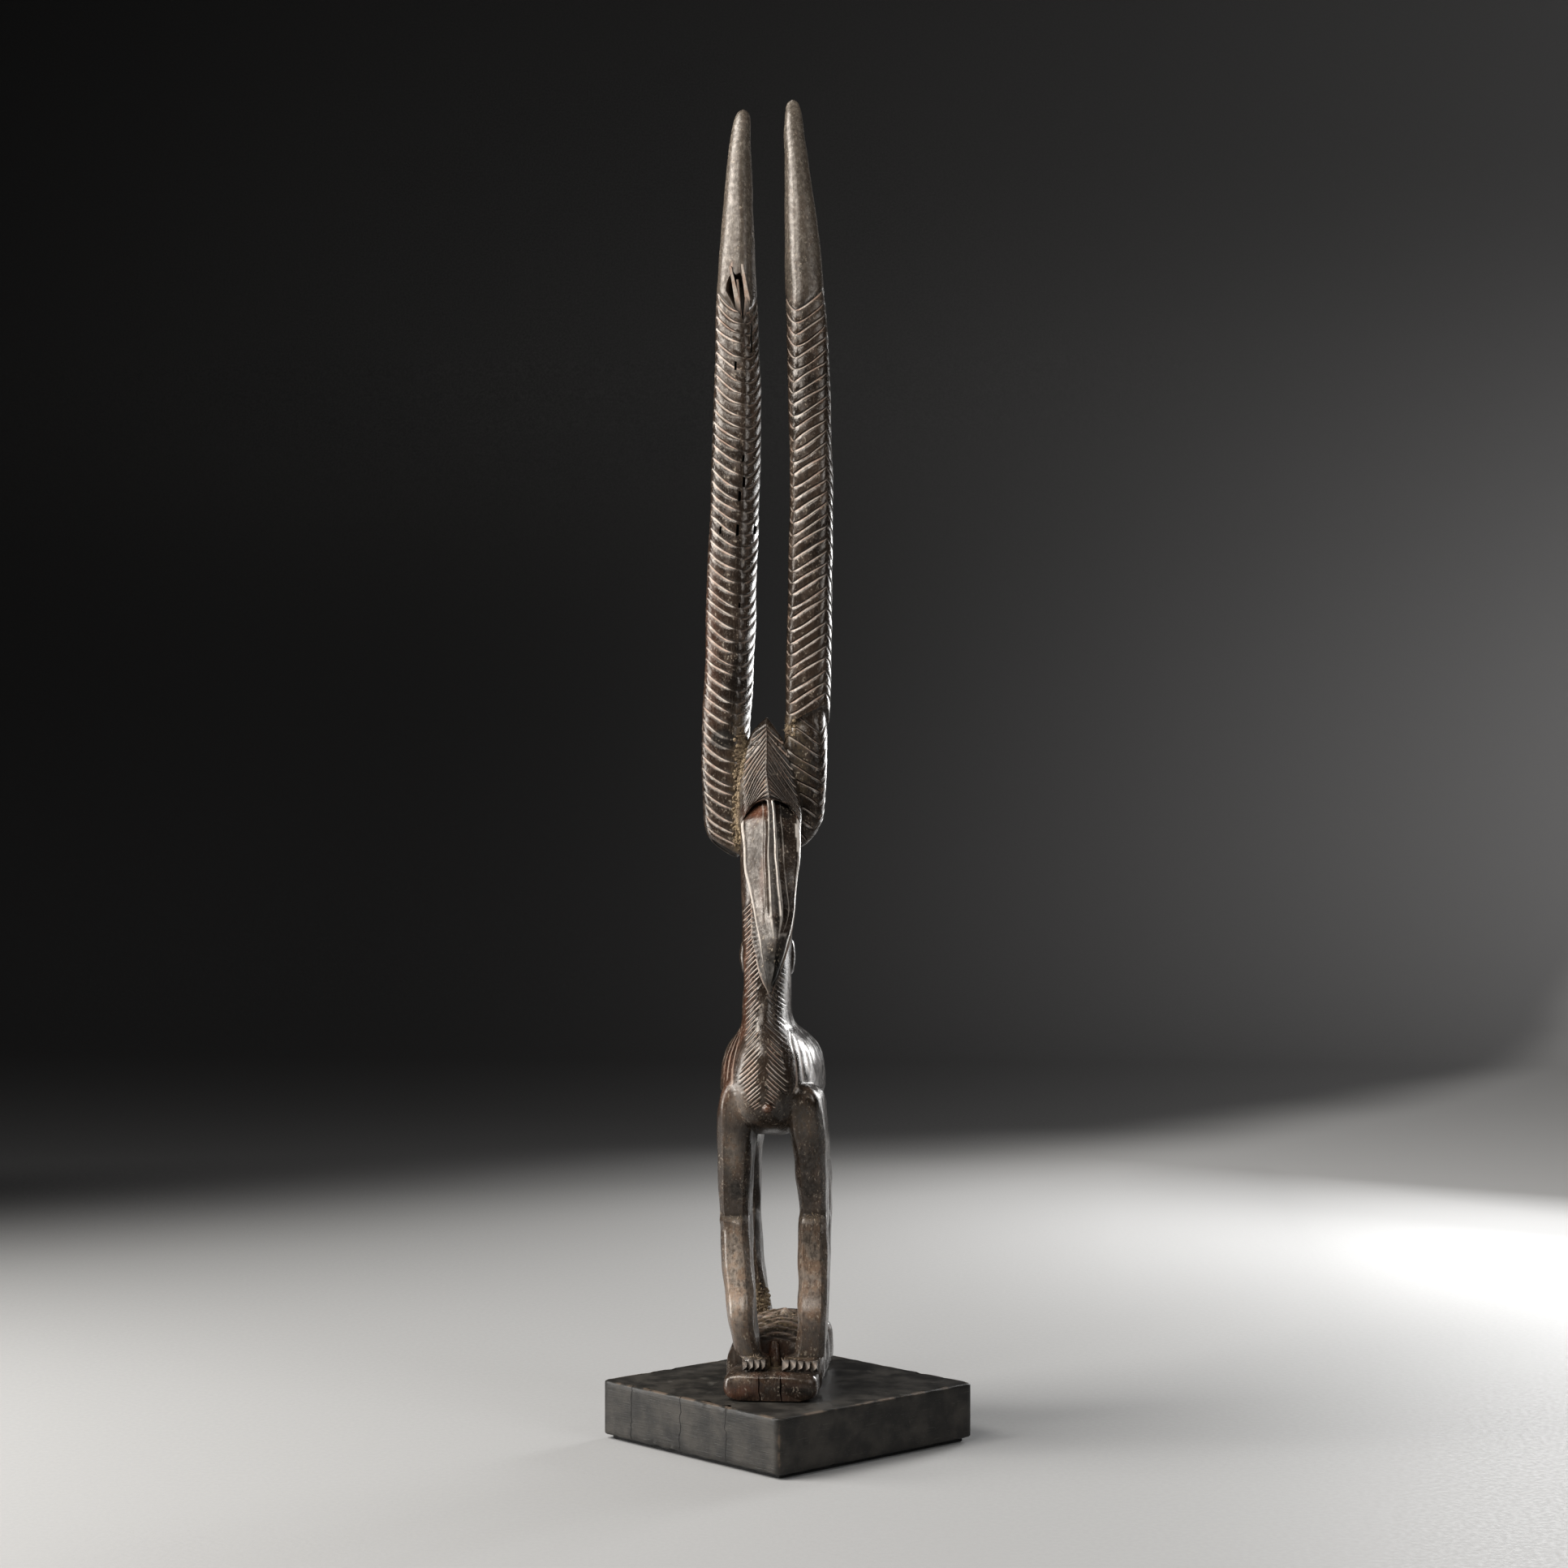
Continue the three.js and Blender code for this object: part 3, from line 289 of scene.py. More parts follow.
# How the strokes of each horn look
LEFT_LOOK = {"pitch": 7.4, "bow": 1.5, "start": 0.1, "finish": 0.6,
             "side": 0.9, "spine": 0.2, "tilt": 1.6, "side_pale": 0.4}
RIGHT_LOOK = {"pitch": 7.4, "bow": 1.1, "start": 0.1, "finish": 0.12,
              "side": 0.95, "spine": 0.35, "tilt": 2.2, "side_pale": 0.6}

# Seeds of the random draws
HORN_SEEDS = (11, 12, 13)
TRUNK_SEED, HEAD_SEED, LEG_SEED, BASE_SEED = 21, 31, 41, 52
SWELL_SEED, FACET_SEED, PLINTH_SEED, STROKE_SEED = 70, 90, 81, 3

# Wear and dirt, with painted light and shade among them
RED_PLACES = [  # centre, reach and amount of the places painted reddish: worn reddish wood, and painted light on the left eye hollow and the nose bar's left flank
    ((-16, -26, 351), (11, 14, 8), 1.2), ((-10.5, -50, 318), (2.5, 18, 36), 0.7),
    ((-1.9, -71, 290), (4, 8, 5), 0.9), ((-5.9, -65, 174), (4, 5, 4), 1),
    ((-25.9, -62, 5), (10, 14, 7), 0.8), ((-12.2, -64, 8), (2.6, 8, 12), 0.8),
    ((4, -64, 8), (2.4, 8, 12), 0.9), ((-23, -38, 250), (8, 22, 70), 0.7),
    ((-34, -50, 195), (10, 30, 30), 0.5), ((-48, 0, 460), (9, 20, 90), 0.4),
    ((18, -50, 60), (8, 20, 30), 0.4), ((-6, -38, 24), (16, 8, 10), 0.5),
]
# Places painted paler: the lower legs and patches on the upper legs and chest, with painted highlights on
# the base's front left corner and the top of the left front leg.
PALE_AND_HIGHLIGHT_PLACES = [
    ((-28, -50, 74), (11, 30, 44), 1), ((18, -52, 72), (16, 30, 46), 0.8),
    ((-20, -50, 62), (16, 30, 40), 0.4), ((-20, -64, 210), (9, 20, 40), 0.3),
    ((-29, -46, 146), (8, 16, 22), 0.6), ((-26, -54, 174), (9, 14, 14), 0.5),
    ((-21, -66, 12), (8, 8, 5), 0.7), ((16, -50, 162), (9, 14, 14), 0.25),
]
# Places of dry dirt, and painted light on the dome and step between the legs and on the ledge above the
# toes.
DIRT_AND_LIGHT_PLACES = [
    ((-29, 2, 385), (6, 20, 30), 1), ((3, 4, 401), (7, 14, 10), 1), ((-30, 0, 345), (5, 14, 32), 1),
    ((-20, 36, 44), (12, 22, 14), 0.8), ((-4, 0, 35), (22, 34, 9), 0.65),
    ((-4.6, -46, 18), (9, 10, 4), 0.9), ((-4, -55, 25.6), (28, 5, 2.2), 0.8),
    ((-27, -38, 104.6), (12, 8, 2), 0.4), ((18, -38, 105.8), (12, 8, 2), 0.4),
    ((12, -46, 172), (14, 10, 16), 0.25), ((9, 0, 380), (5, 12, 26), 0.6),
]
FIBROUS_PLACES = [
    ((-4, -55, 24.6), (28, 5, 2), 1), ((-27, -38, 105.4), (12, 6, 1.6), 0.6),
    ((18, -38, 106.6), (12, 6, 1.6), 0.6), ((-4, 14, 38), (20, 8, 5), 0.7),
    ((2, 6, 404), (7, 10, 9), 0.8), ((-23, 6, 372), (4, 10, 34), 0.5),
]
# Blackened places: charred and stained wood, and painted shadow in the right eye hollow.
BLACK_AND_SHADOW_PLACES = [
    ((-39, -6, 395), (12, 18, 9), 1.3), ((1.5, -82, 257), (4.5, 10, 11), 1),
    ((1.5, -25, 351), (8, 12, 9), 1), ((-2.5, -83, 257), (7, 12, 12), 0.8),
    ((-27, -44, 121), (9, 14, 16), 0.75), ((17, -44, 121), (10, 14, 16), 0.75),
    ((2, -66, 8), (5, 8, 8), 0.6), ((18, -66, 6), (10, 9, 6), 0.6), ((-22, -44, 36), (9, 14, 13), 0.7),
    ((19, -44, 33), (10, 14, 12), 0.5), ((-4, -78, 264), (7, 14, 16), 0.4),
    ((16, -52, 150), (10, 14, 22), 0.4), ((-24, -52, 165), (10, 14, 14), 0.3),
]
DULL_PLACES = [
    ((-0.5, -78, 262), (11, 20, 22), 1.2), ((-2, -86, 249), (7, 9, 9), 0.9),
    ((0, -68, 284), (5, 8, 6), 0.8), ((8, 0, 378), (10, 14, 22), 0.8), ((-9, -14, 155.5), (24, 50, 5), 1),
    ((-18.4, -28, 130), (2.8, 16, 62), 0.8), ((-21, 46, 110), (8, 16, 56), 0.7),
    ((-15.4, -36, 42), (3, 16, 30), 0.7), ((-16, -46, 330), (12, 26, 40), 0.45),
    ((-27, -38, 106), (12, 8, 3), 0.7), ((18, -38, 107.4), (12, 8, 3), 0.7),
]

# Fixed colours of the finishes; the pale ones also paint highlights, the hollow black paints shade and the
# char black also paints shadow
PALE_GREY, PALE_BROWN = (0.24, 0.2, 0.165), (0.19, 0.13, 0.09)
DARK_GRAIN, LIGHT_GRAIN = (0.008, 0.006, 0.005), (0.16, 0.12, 0.09)
DULL_BROWN, PAINTED_SHADE_BLACK = (0.016, 0.014, 0.012), (0.004, 0.003, 0.0026)
CHAR_AND_SHADE_BLACK, CRACK_BLACK = (0.006, 0.0055, 0.005), (0.003, 0.003, 0.003)
WARM_SHINE = (1, 0.93, 0.86, 1)
CRACKED_FACE = (0.078, 0.0795)
# How much the painted light brightens the backdrop at most
LIT_WALL = 80

# Stage: name, place, aim, size and colour of each soft light
MIDDLE, LOW_MIDDLE = (0, 0, 0.42), (0, 0, 0.25)
WARM_LIGHT, WHITE_LIGHT = (1, 0.97, 0.93), (1, 1, 1)
LIGHTS = (
    ("key", (-1.05, -0.5, 1.5), MIDDLE, (0.85, 0.95), WARM_LIGHT),
    ("side", (-1.3, -0.12, 0.42), (0, 0, 0.3), (0.7, 0.8), (1, 0.98, 0.95)),
    ("rim", (0.66, 0.84, 0.5), MIDDLE, (0.15, 0.8), WHITE_LIGHT),
    ("low", (0.75, 0.75, 0.28), LOW_MIDDLE, (0.2, 0.36), WHITE_LIGHT),
    ("shoulder", (0.63, 1.07, 0.54), LOW_MIDDLE, (0.3, 0.3), WHITE_LIGHT),
    ("fill", (1.1, -0.9, 1.0), MIDDLE, (0.6, 0.9), WHITE_LIGHT),
    ("front", (-0.55, -1.5, 1.7), MIDDLE, (0.8, 0.6), WARM_LIGHT),
)
ROOM_COLOUR = (0.02, 0.02, 0.021, 1)
SENSOR_WIDTH, LENS = 36, 71.05
CAMERA_SHIFT = 0.002


# Numbers

def smooth(value, low, high):
    """Nothing below low, one above high, and a soft rise between them. It falls where low is above high."""
    t = np.clip((np.asarray(value, float) - low) / (high - low), 0, 1)
    return t * t * (3 - 2 * t)


def curve(rows):
    """Values between the rows of a table, by a cubic that never overshoots them."""
    table = np.array(rows, float)
    at, values = table[:, 0], table[:, 1:]
    steps = np.diff(values, axis=0) / np.diff(at)[:, None]
    slopes = np.zeros_like(values)
    before, after = steps[:-1], steps[1:]
    rising = before * after > 0
    total = np.where(rising, before + after, 1)
    slopes[1:-1] = np.where(rising, 2 * before * after / total, 0)

    def read(position):
        p = np.clip(np.asarray(position, float), at[0], at[-1])
        i = np.clip(np.searchsorted(at, p, side="left") - 1, 0, len(at) - 2)
        span = at[i + 1] - at[i]
        t = ((p - at[i]) / span)[..., None]
        a, b = values[i], values[i + 1]
        sa, sb = slopes[i] * span[..., None], slopes[i + 1] * span[..., None]
        cubic = (2 * (a - b) + sa + sb) * t**3 + (3 * (b - a) - 2 * sa - sb) * t**2 + sa * t + a
        return [cubic[..., v] for v in range(cubic.shape[-1])]

    return read


def columns(table, at):
    """The values of a table at each level, shaped for a row of points to a level."""
    return [values[:, None] for values in curve(table)(at)]


def full_turn(count):
    return np.linspace(0, 2 * math.pi, count, endpoint=False)


def signed_power(value, power):
    return np.sign(value) * np.abs(value) ** power


def waves(points, size, seed, count=9):
    """Smooth uneven values near -1 to 1, with bumps about as wide as size."""
    chance = np.random.default_rng(seed)
    total = np.zeros(points.shape[:-1])
    for _ in range(count):
        direction = chance.normal(size=3)
        direction /= np.linalg.norm(direction)
        length = size * chance.uniform(1.4, 3.4)
        total += np.sin(points @ direction * 2 * math.pi / length + chance.uniform(0, 2 * math.pi))
    return total / math.sqrt(count / 2) * 0.7


def spot(points, centre, radius):
    """One at the centre, fading to nothing at about the radius (one per axis)."""
    away = (points - np.array(centre, float)) / np.array(radius, float)
    return np.exp(-2.2 * (away**2).sum(-1))


# Meshes

def added(name, data):
    """A new object in the scene."""
    piece = bpy.data.objects.new(name, data)
    bpy.context.scene.collection.objects.link(piece)
    return piece


def closed_mesh(name, points, faces):
    """A mesh of closed faces, turned to face outwards."""
    volume = 0.0
    for face in faces:
        corners = points[face]
        for k in range(1, corners.shape[1] - 1):
            volume += np.einsum("ij,ij->", corners[:, 0], np.cross(corners[:, k], corners[:, k + 1]))
    polygons = []
    for face in faces:
        polygons += (face if volume > 0 else face[:, ::-1]).tolist()
    mesh = bpy.data.meshes.new(name)
    mesh.from_pydata(points.tolist(), [], polygons)
    return added(name, mesh)


def set_mask(mesh, name, values):
    layer = mesh.attributes.get(name) or mesh.attributes.new(name, "FLOAT", "POINT")
    layer.data.foreach_set("value", np.asarray(values, np.float32).ravel())


def get_mask(mesh, name):
    values = np.zeros(len(mesh.vertices), np.float32)
    if name in mesh.attributes:
        mesh.attributes[name].data.foreach_get("value", values)
    return values


def positions(mesh):
    flat = np.zeros(len(mesh.vertices) * 3, np.float32)
    mesh.vertices.foreach_get("co", flat)
    return flat.reshape(-1, 3).astype(float)


def move_points(mesh, co):
    mesh.vertices.foreach_set("co", co.astype(np.float32).ravel())
    mesh.update()


def finish_surface(mesh, material, sharp):
    """Smooth shading that breaks at edges sharper than some degrees, and one material."""
    mesh.polygons.foreach_set("use_smooth", np.ones(len(mesh.polygons), bool))
    mesh.set_sharp_from_angle(angle=math.radians(sharp))
    mesh.materials.clear()
    mesh.materials.append(material)
    mesh.polygons.foreach_set("material_index", np.zeros(len(mesh.polygons), np.int32))


def loft(name, rings, **masks):
    """Closed skin through rings of equally many points; masks hold a value for each point."""
    rings = np.asarray(rings, float)
    rows, around = rings.shape[:2]
    grid = np.arange(rows * around).reshape(rows, around)
    turned = np.roll(grid, -1, axis=1)
    sides = np.stack([grid[:-1], turned[:-1], turned[1:], grid[1:]], -1).reshape(-1, 4)
    first = np.full(around, rows * around)
    caps = np.concatenate([
        np.stack([turned[0], grid[0], first], -1),
        np.stack([grid[-1], turned[-1], first + 1], -1),
    ])
    points = np.concatenate([rings.reshape(-1, 3), [rings[0].mean(0), rings[-1].mean(0)]])
    piece = closed_mesh(name, points, [sides, caps])
    for mask, values in masks.items():
        values = np.broadcast_to(np.asarray(values, float), (rows, around))
        ends = [values[0].mean(), values[-1].mean()]
        set_mask(piece.data, mask, np.concatenate([values.ravel(), ends]))
    return piece


def level_rings(x, y, levels):
    return np.stack([x, y, np.broadcast_to(levels[:, None], x.shape)], -1)


def plain_mesh(piece):
    """The piece with its modifiers worked into its mesh."""
    shown = piece.evaluated_get(bpy.context.evaluated_depsgraph_get())
    mesh = bpy.data.meshes.new_from_object(shown)
    piece.modifiers.clear()
    old = piece.data
    piece.data = mesh
    bpy.data.meshes.remove(old)
    return piece


# Node trees

class Value:
    """A number in a node tree, to be added, taken away and multiplied like any other."""

    def __init__(self, tree, socket):
        self.tree, self.socket = tree, socket

    def run(self, operation, *others):
        return worked_out(self.tree, operation, self, *others)

    def __add__(self, other):
        return self.run("ADD", other)

    def __sub__(self, other):
        return self.run("SUBTRACT", other)

    def __rsub__(self, other):
        return worked_out(self.tree, "SUBTRACT", other, self)

    def __mul__(self, other):
        return self.run("MULTIPLY", other)

    __radd__ = __add__

    def clamped(self):
        self.socket.node.use_clamp = True
        return self

    def ranged(self, low, high, to_low=0.0, to_high=1.0, kind="SMOOTHSTEP"):
        inputs = {0: self, 1: low, 2: high, 3: to_low, 4: to_high}
        made = node(self.tree, "ShaderNodeMapRange", inputs, interpolation_type=kind)
        return Value(self.tree, made.outputs[0])


def worked_out(tree, operation, *values):
    """The result of a sum or other operation on values and numbers."""
    made = node(tree, "ShaderNodeMath", dict(enumerate(values)), operation=operation)
    return Value(tree, made.outputs[0])


def set_input(tree, socket, value):
    value = value.socket if isinstance(value, Value) else value
    if isinstance(value, bpy.types.NodeSocket):
        tree.links.new(value, socket)
    else:
        socket.default_value = value


def node(tree, kind, inputs=(), **settings):
    made = tree.nodes.new(kind)
    for key, value in settings.items():
        setattr(made, key, value)
    for key, value in dict(inputs).items():
        set_input(tree, made.inputs[key], value)
    return made


def new_geometry_tree(name, sizes):
    """A geometry node tree with named inputs (name, kind, default), and a way to read them by name."""
    tree = bpy.data.node_groups.new(name, "GeometryNodeTree")
    for way in ("INPUT", "OUTPUT"):
        tree.interface.new_socket("Geometry", in_out=way, socket_type="NodeSocketGeometry")
    for label, kind, default in sizes:
        socket = tree.interface.new_socket(label, in_out="INPUT", socket_type="NodeSocket" + kind)
        socket.default_value = default
    tree.interface.new_socket("Material", in_out="INPUT", socket_type="NodeSocketMaterial")
    entry = node(tree, "NodeGroupInput")
    return tree, lambda label: Value(tree, entry.outputs[label])


def end_tree(tree, given, geometry):
    real = node(tree, "GeometryNodeRealizeInstances", {"Geometry": geometry}).outputs[0]
    finished = node(tree, "GeometryNodeSetMaterial", {"Geometry": real, "Material": given("Material")})
    node(tree, "NodeGroupOutput", {0: finished.outputs[0]})
    return tree


def end_with_copies(tree, given, **inputs):
    return end_tree(tree, given, node(tree, "GeometryNodeInstanceOnPoints", inputs).outputs[0])


def random_value(tree, kind, inputs):
    return node(tree, "FunctionNodeRandomValue", inputs, data_type=kind)


def stored(tree, name):
    """The values of a mask, by its name."""
    made = node(tree, "GeometryNodeInputNamedAttribute", {"Name": name}, data_type="FLOAT")
    return Value(tree, made.outputs[0])


def use_tree(piece, tree, material, **sizes):
    """Runs a geometry node tree on the piece, with its inputs set by name, and keeps the result."""
    modifier = piece.modifiers.new(tree.name, "NODES")
    modifier.node_group = tree
    wanted = {key.replace("_", " ").capitalize(): value for key, value in sizes.items()}
    wanted["Material"] = material
    for socket in tree.interface.items_tree:
        if socket.in_out == "INPUT" and socket.name in wanted:
            modifier[socket.identifier] = wanted.pop(socket.name)
    if wanted:
        raise RuntimeError(f"the tree {tree.name} has no input named {sorted(wanted)}")
    return plain_mesh(piece)


def stroke_tree():
    """Cuts strokes along the rows of a loft. Each stroke has a steep wall and a sloping lip; the wall gets
    painted shade, the lip a pale cut.
    """
    tree, given = new_geometry_tree("carved_strokes", [
        ("Depth", "Float", 1.0), ("Wall", "Float", 0.1), ("Lip", "Float", 0.35),
        ("Unevenness", "Float", 0.3), ("Seed", "Int", 1),
    ])
    stroke, strength = stored(tree, "stroke"), stored(tree, "strength")
    step = (stroke + 0.001).run("FLOOR")
    phase = (stroke - step).run("MAXIMUM", 0.0)
    wall = (1.0 - phase.run("DIVIDE", given("Wall"))).clamped()
    lip_share = given("Lip") * strength.ranged(0.0, 1.0, 0.3, 1.0)
    lip = phase.ranged(1.0 - lip_share, 1.0, kind="LINEAR")
    inputs = {2: 1.0 - given("Unevenness"), 3: 1.0, "ID": step, "Seed": given("Seed")}
    strength = strength * random_value(tree, "FLOAT", inputs).outputs[1]
    depth = wall.run("MAXIMUM", lip) * strength * (given("Depth") * -1.0)
    normal = node(tree, "GeometryNodeInputNormal").outputs[0]
    offset = node(tree, "ShaderNodeVectorMath", {0: normal, "Scale": depth}, operation="SCALE").outputs[0]
    inputs = {"Geometry": given("Geometry"), "Offset": offset}
    geometry = node(tree, "GeometryNodeSetPosition", inputs).outputs[0]
    shown = strength.ranged(0.06, 0.4)
    core = 1.0 - lip_share * 0.55
    rising = phase.ranged(core, core + 0.06)
    # painted shade on each stroke's steep wall, and the pale cut near the top of its lip
    for name, value in (("cut", rising), ("crevice", wall)):
        inputs = {"Geometry": geometry, "Name": name, "Value": (value * shown).clamped()}
        kept = node(tree, "GeometryNodeStoreNamedAttribute", inputs, data_type="FLOAT", domain="POINT")
        geometry = kept.outputs[0]
    return end_tree(tree, given, geometry)


def row_tree():
    """Repeats a shape in a row, each a little different in size, for the toes."""
    tree, given = new_geometry_tree("carved_row", [
        ("Count", "Int", 4), ("Start", "Vector", (0, 0, 0)), ("Step", "Vector", (1, 0, 0)),
        ("Smallest", "Float", 0.8), ("Seed", "Int", 1),
    ])
    inputs = {"Count": given("Count"), "Start Location": given("Start"), "Offset": given("Step")}
    row = node(tree, "GeometryNodeMeshLine", inputs, mode="OFFSET").outputs[0]
    size = random_value(tree, "FLOAT_VECTOR", {0: given("Smallest"), 1: (1, 1, 1), "Seed": given("Seed")})
    return end_with_copies(tree, given, Points=row, Instance=given("Geometry"), Scale=size.outputs[0])


def scatter_tree():
    """Scatters small bits over a surface, thickest where the mask says: round crumbs or thin fibres."""
    tree, given = new_geometry_tree("scattered_bits", [
        ("Mask", "String", "crust"), ("Density", "Float", 1.0), ("Smallest", "Vector", (1, 1, 1)),
        ("Largest", "Vector", (1, 1, 1)), ("Fibres", "Bool", False), ("Seed", "Int", 1),
    ])
    inputs = {"Mesh": given("Geometry"), "Seed": given("Seed"),
              "Density": stored(tree, given("Mask")) * given("Density")}
    points = node(tree, "GeometryNodeDistributePointsOnFaces", inputs, distribute_method="RANDOM").outputs
    crumb = node(tree, "GeometryNodeMeshIcoSphere", {"Radius": 1.0, "Subdivisions": 1}).outputs[0]
    fibre = node(tree, "GeometryNodeMeshCone", {
        "Vertices": 3, "Side Segments": 1, "Fill Segments": 1, "Radius Top": 0.2, "Radius Bottom": 1.0,
        "Depth": 2.0}).outputs[0]
    inputs = {"Switch": given("Fibres"), "False": crumb, "True": fibre}
    bit = node(tree, "GeometryNodeSwitch", inputs, input_type="GEOMETRY").outputs[0]
    seed = {"Seed": given("Seed")}
    size = random_value(tree, "FLOAT_VECTOR", {0: given("Smallest"), 1: given("Largest"), **seed})
    turn = random_value(tree, "FLOAT_VECTOR", {0: (-1.4, -1.4, 0), 1: (1.4, 1.4, 6.3), **seed})
    inputs = {"Rotation": points["Rotation"], "Rotate By": turn.outputs[0]}
    turned = node(tree, "FunctionNodeRotateRotation", inputs, rotation_space="LOCAL").outputs[0]
    return end_with_copies(tree, given, Points=points["Points"], Instance=bit, Rotation=turned,
                           Scale=size.outputs[0])


# Finishes

class Finish:
    """A material under way: its tree, its shader and the noises and masks that colour it."""

    def __init__(self, name):
        self.material = bpy.data.materials.new(name)
        self.material.use_nodes = True
        self.tree = self.material.node_tree
        self.shader = self.tree.nodes["Principled BSDF"]
        self.place = node(self.tree, "ShaderNodeTexCoord").outputs["Object"]

    def noise(self, scale, detail=3.0, roughness=0.5, turn=(0, 0, 0)):
        inputs = {"Vector": self.place, "Rotation": turn, "Scale": scale}
        mapped = node(self.tree, "ShaderNodeMapping", inputs).outputs[0]
        inputs = {"Vector": mapped, "Scale": 1.0, "Detail": detail, "Roughness": roughness}
        return Value(self.tree, node(self.tree, "ShaderNodeTexNoise", inputs).outputs[0])

    def mask(self, name):
        return Value(self.tree, node(self.tree, "ShaderNodeAttribute", attribute_name=name).outputs["Fac"])

    def parts(self):
        """The x, y and z of the place."""
        return [Value(self.tree, part) for part in
                node(self.tree, "ShaderNodeSeparateXYZ", {0: self.place}).outputs]

    def mixed(self, colour, *layers):
        """The colour under layers of others, each with its share."""
        for share, over in layers:
            first, second = [layer if isinstance(layer, bpy.types.NodeSocket) else (*layer[:3], 1)
                             for layer in (colour, over)]
            mix = node(self.tree, "ShaderNodeMix", {0: share, 6: first, 7: second}, data_type="RGBA")
            colour = mix.outputs[2]
        return colour

    def finish(self, colour, roughness, height, relief):
        bump = node(self.tree, "ShaderNodeBump", {"Height": height, "Distance": relief, "Strength": 1.0})
        for name, value in (("Base Color", colour), ("Roughness", roughness), ("Normal", bump.outputs[0])):
            set_input(self.tree, self.shader.inputs[name], value)
        return self.material


def carved_wood(colours):
    """Dark polished wood: streaks of grain, pale cuts, warm worn edges, painted highlights, black painted
    shade in hollows and stroke walls, dry dirt with painted light.
    """
    f = Finish("carved_wood")
    patches = f.noise((36, 36, 18), 4, 0.55)
    clouds = f.noise((150, 150, 100), 4, 0.6)
    streaks = f.noise((1300, 1300, 110), 3, 0.6)
    pits = f.noise((1500, 1500, 900), 3, 0.6)
    fine = f.noise((430, 430, 320), 4, 0.65)
    flecks = f.noise((800, 800, 560), 2, 0.5)
    dull = (f.mask("dull") * clouds.ranged(0.3, 0.6, 0.8, 1)).clamped()
    red = f.mask("red") * clouds.ranged(0.3, 0.6, 0.4, 1) * 0.75
    mottle = fine.ranged(0.34, 0.56, 0.4, 1.05) * clouds.ranged(0.3, 0.5, 0.55, 1.1)
    # paler wood, and painted highlights on the base's front and the left front leg's top
    pale = (f.mask("pale") * mottle).clamped()
    tip = f.mask("tip") * clouds.ranged(0.3, 0.62, 0.95, 0.5)
    tip = (tip * fine.ranged(0.35, 0.6, 1.05, 0.6)).clamped()
    worn = f.mask("edge") * fine.ranged(0.45, 0.62, 0.03, 1) * 0.5
    # dust, and painted light on the dome, the step and the ledge above the toes
    dust = (f.mask("dust") * fine.ranged(0.36, 0.62)).clamped()
    # painted highlights on the nose bar's rims, the face's edges, the mouth and the toes
    rubbed = (f.mask("rubbed") * clouds.ranged(0.32, 0.5, 0.35, 1)).clamped()
    cut = (f.mask("cut") * pits.ranged(0.3, 0.6, 0.6, 1)).clamped()
    # painted shade: stroke walls, cracks, grooves and concave places darkened towards black
    dark = f.mask("crevice").run("MAXIMUM", f.mask("hollow") * 0.85)
    # char, and painted shadow in the right eye hollow
    char = (f.mask("char") * fine.ranged(0.2, 0.7, 0.6, 1.3)).ranged(0.25, 0.7)
    flecked = flecks.ranged(0.58, 0.68) * clouds.ranged(0.45, 0.62, 0.04, 0.7)
    browner = clouds.ranged(0.4, 0.6)
    colour = f.mixed(
        colours.dark, (patches.ranged(0.36, 0.66), colours.middle),
        (clouds.ranged(0.5, 0.72, 0, 0.6), colours.warm), (red, colours.red),
        (pale, f.mixed(PALE_GREY, (browner, PALE_BROWN))), (tip, colours.tip),
        (streaks.ranged(0.5, 0.72, 0, 0.45), DARK_GRAIN), (streaks.ranged(0.45, 0.3, 0, 0.22), LIGHT_GRAIN),
        (worn, colours.worn), (dust, colours.dust), (rubbed, colours.rubbed), (dull * 0.85, DULL_BROWN),
        (cut, f.mixed(colours.cut, (browner, colours.cut_red))), (dark * 0.94, PAINTED_SHADE_BLACK),
        (char * 0.85, CHAR_AND_SHADE_BLACK), (flecked, colours.fleck))
    gloss = fine.ranged(0.36, 0.6, 0.62, 0.3) * (1.0 - dull).clamped()
    set_input(f.tree, f.shader.inputs["Specular IOR Level"], gloss)
    f.shader.inputs["Specular Tint"].default_value = WARM_SHINE
    rough = clouds.ranged(0.34, 0.66, 0.13, 0.32)
    for share, value in ((tip, 0.33), (flecked, 0.5), (cut, 0.42), (dust, 0.85), (dull, 0.72), (dark, 0.7),
                         (char, 0.3)):
        rough = rough + share * (value - rough)
    height = streaks * 0.25 + fine * 0.38 + pits.ranged(0.55, 0.75) * -0.3 + char * pits * 0.4
    return f.finish(colour, rough, height, 0.00016)


def face_cracks(f):
    """Thin upright cracks across the plinth's front left face."""
    x, y, _ = f.parts()
    turn = math.radians(PLINTH_TURN)
    along = x * math.sin(turn) - y * math.cos(turn)
    outward = x * -math.cos(turn) + y * -math.sin(turn)
    wander = (f.noise((30, 30, 160), 3, 0.6) - 0.5) * 0.006
    total = 0.0
    for place, wide in CRACKS:
        total = total + (along + wander - place).run("ABSOLUTE").ranged(wide, wide * 0.3)
    return (total * outward.ranged(*CRACKED_FACE)).clamped()


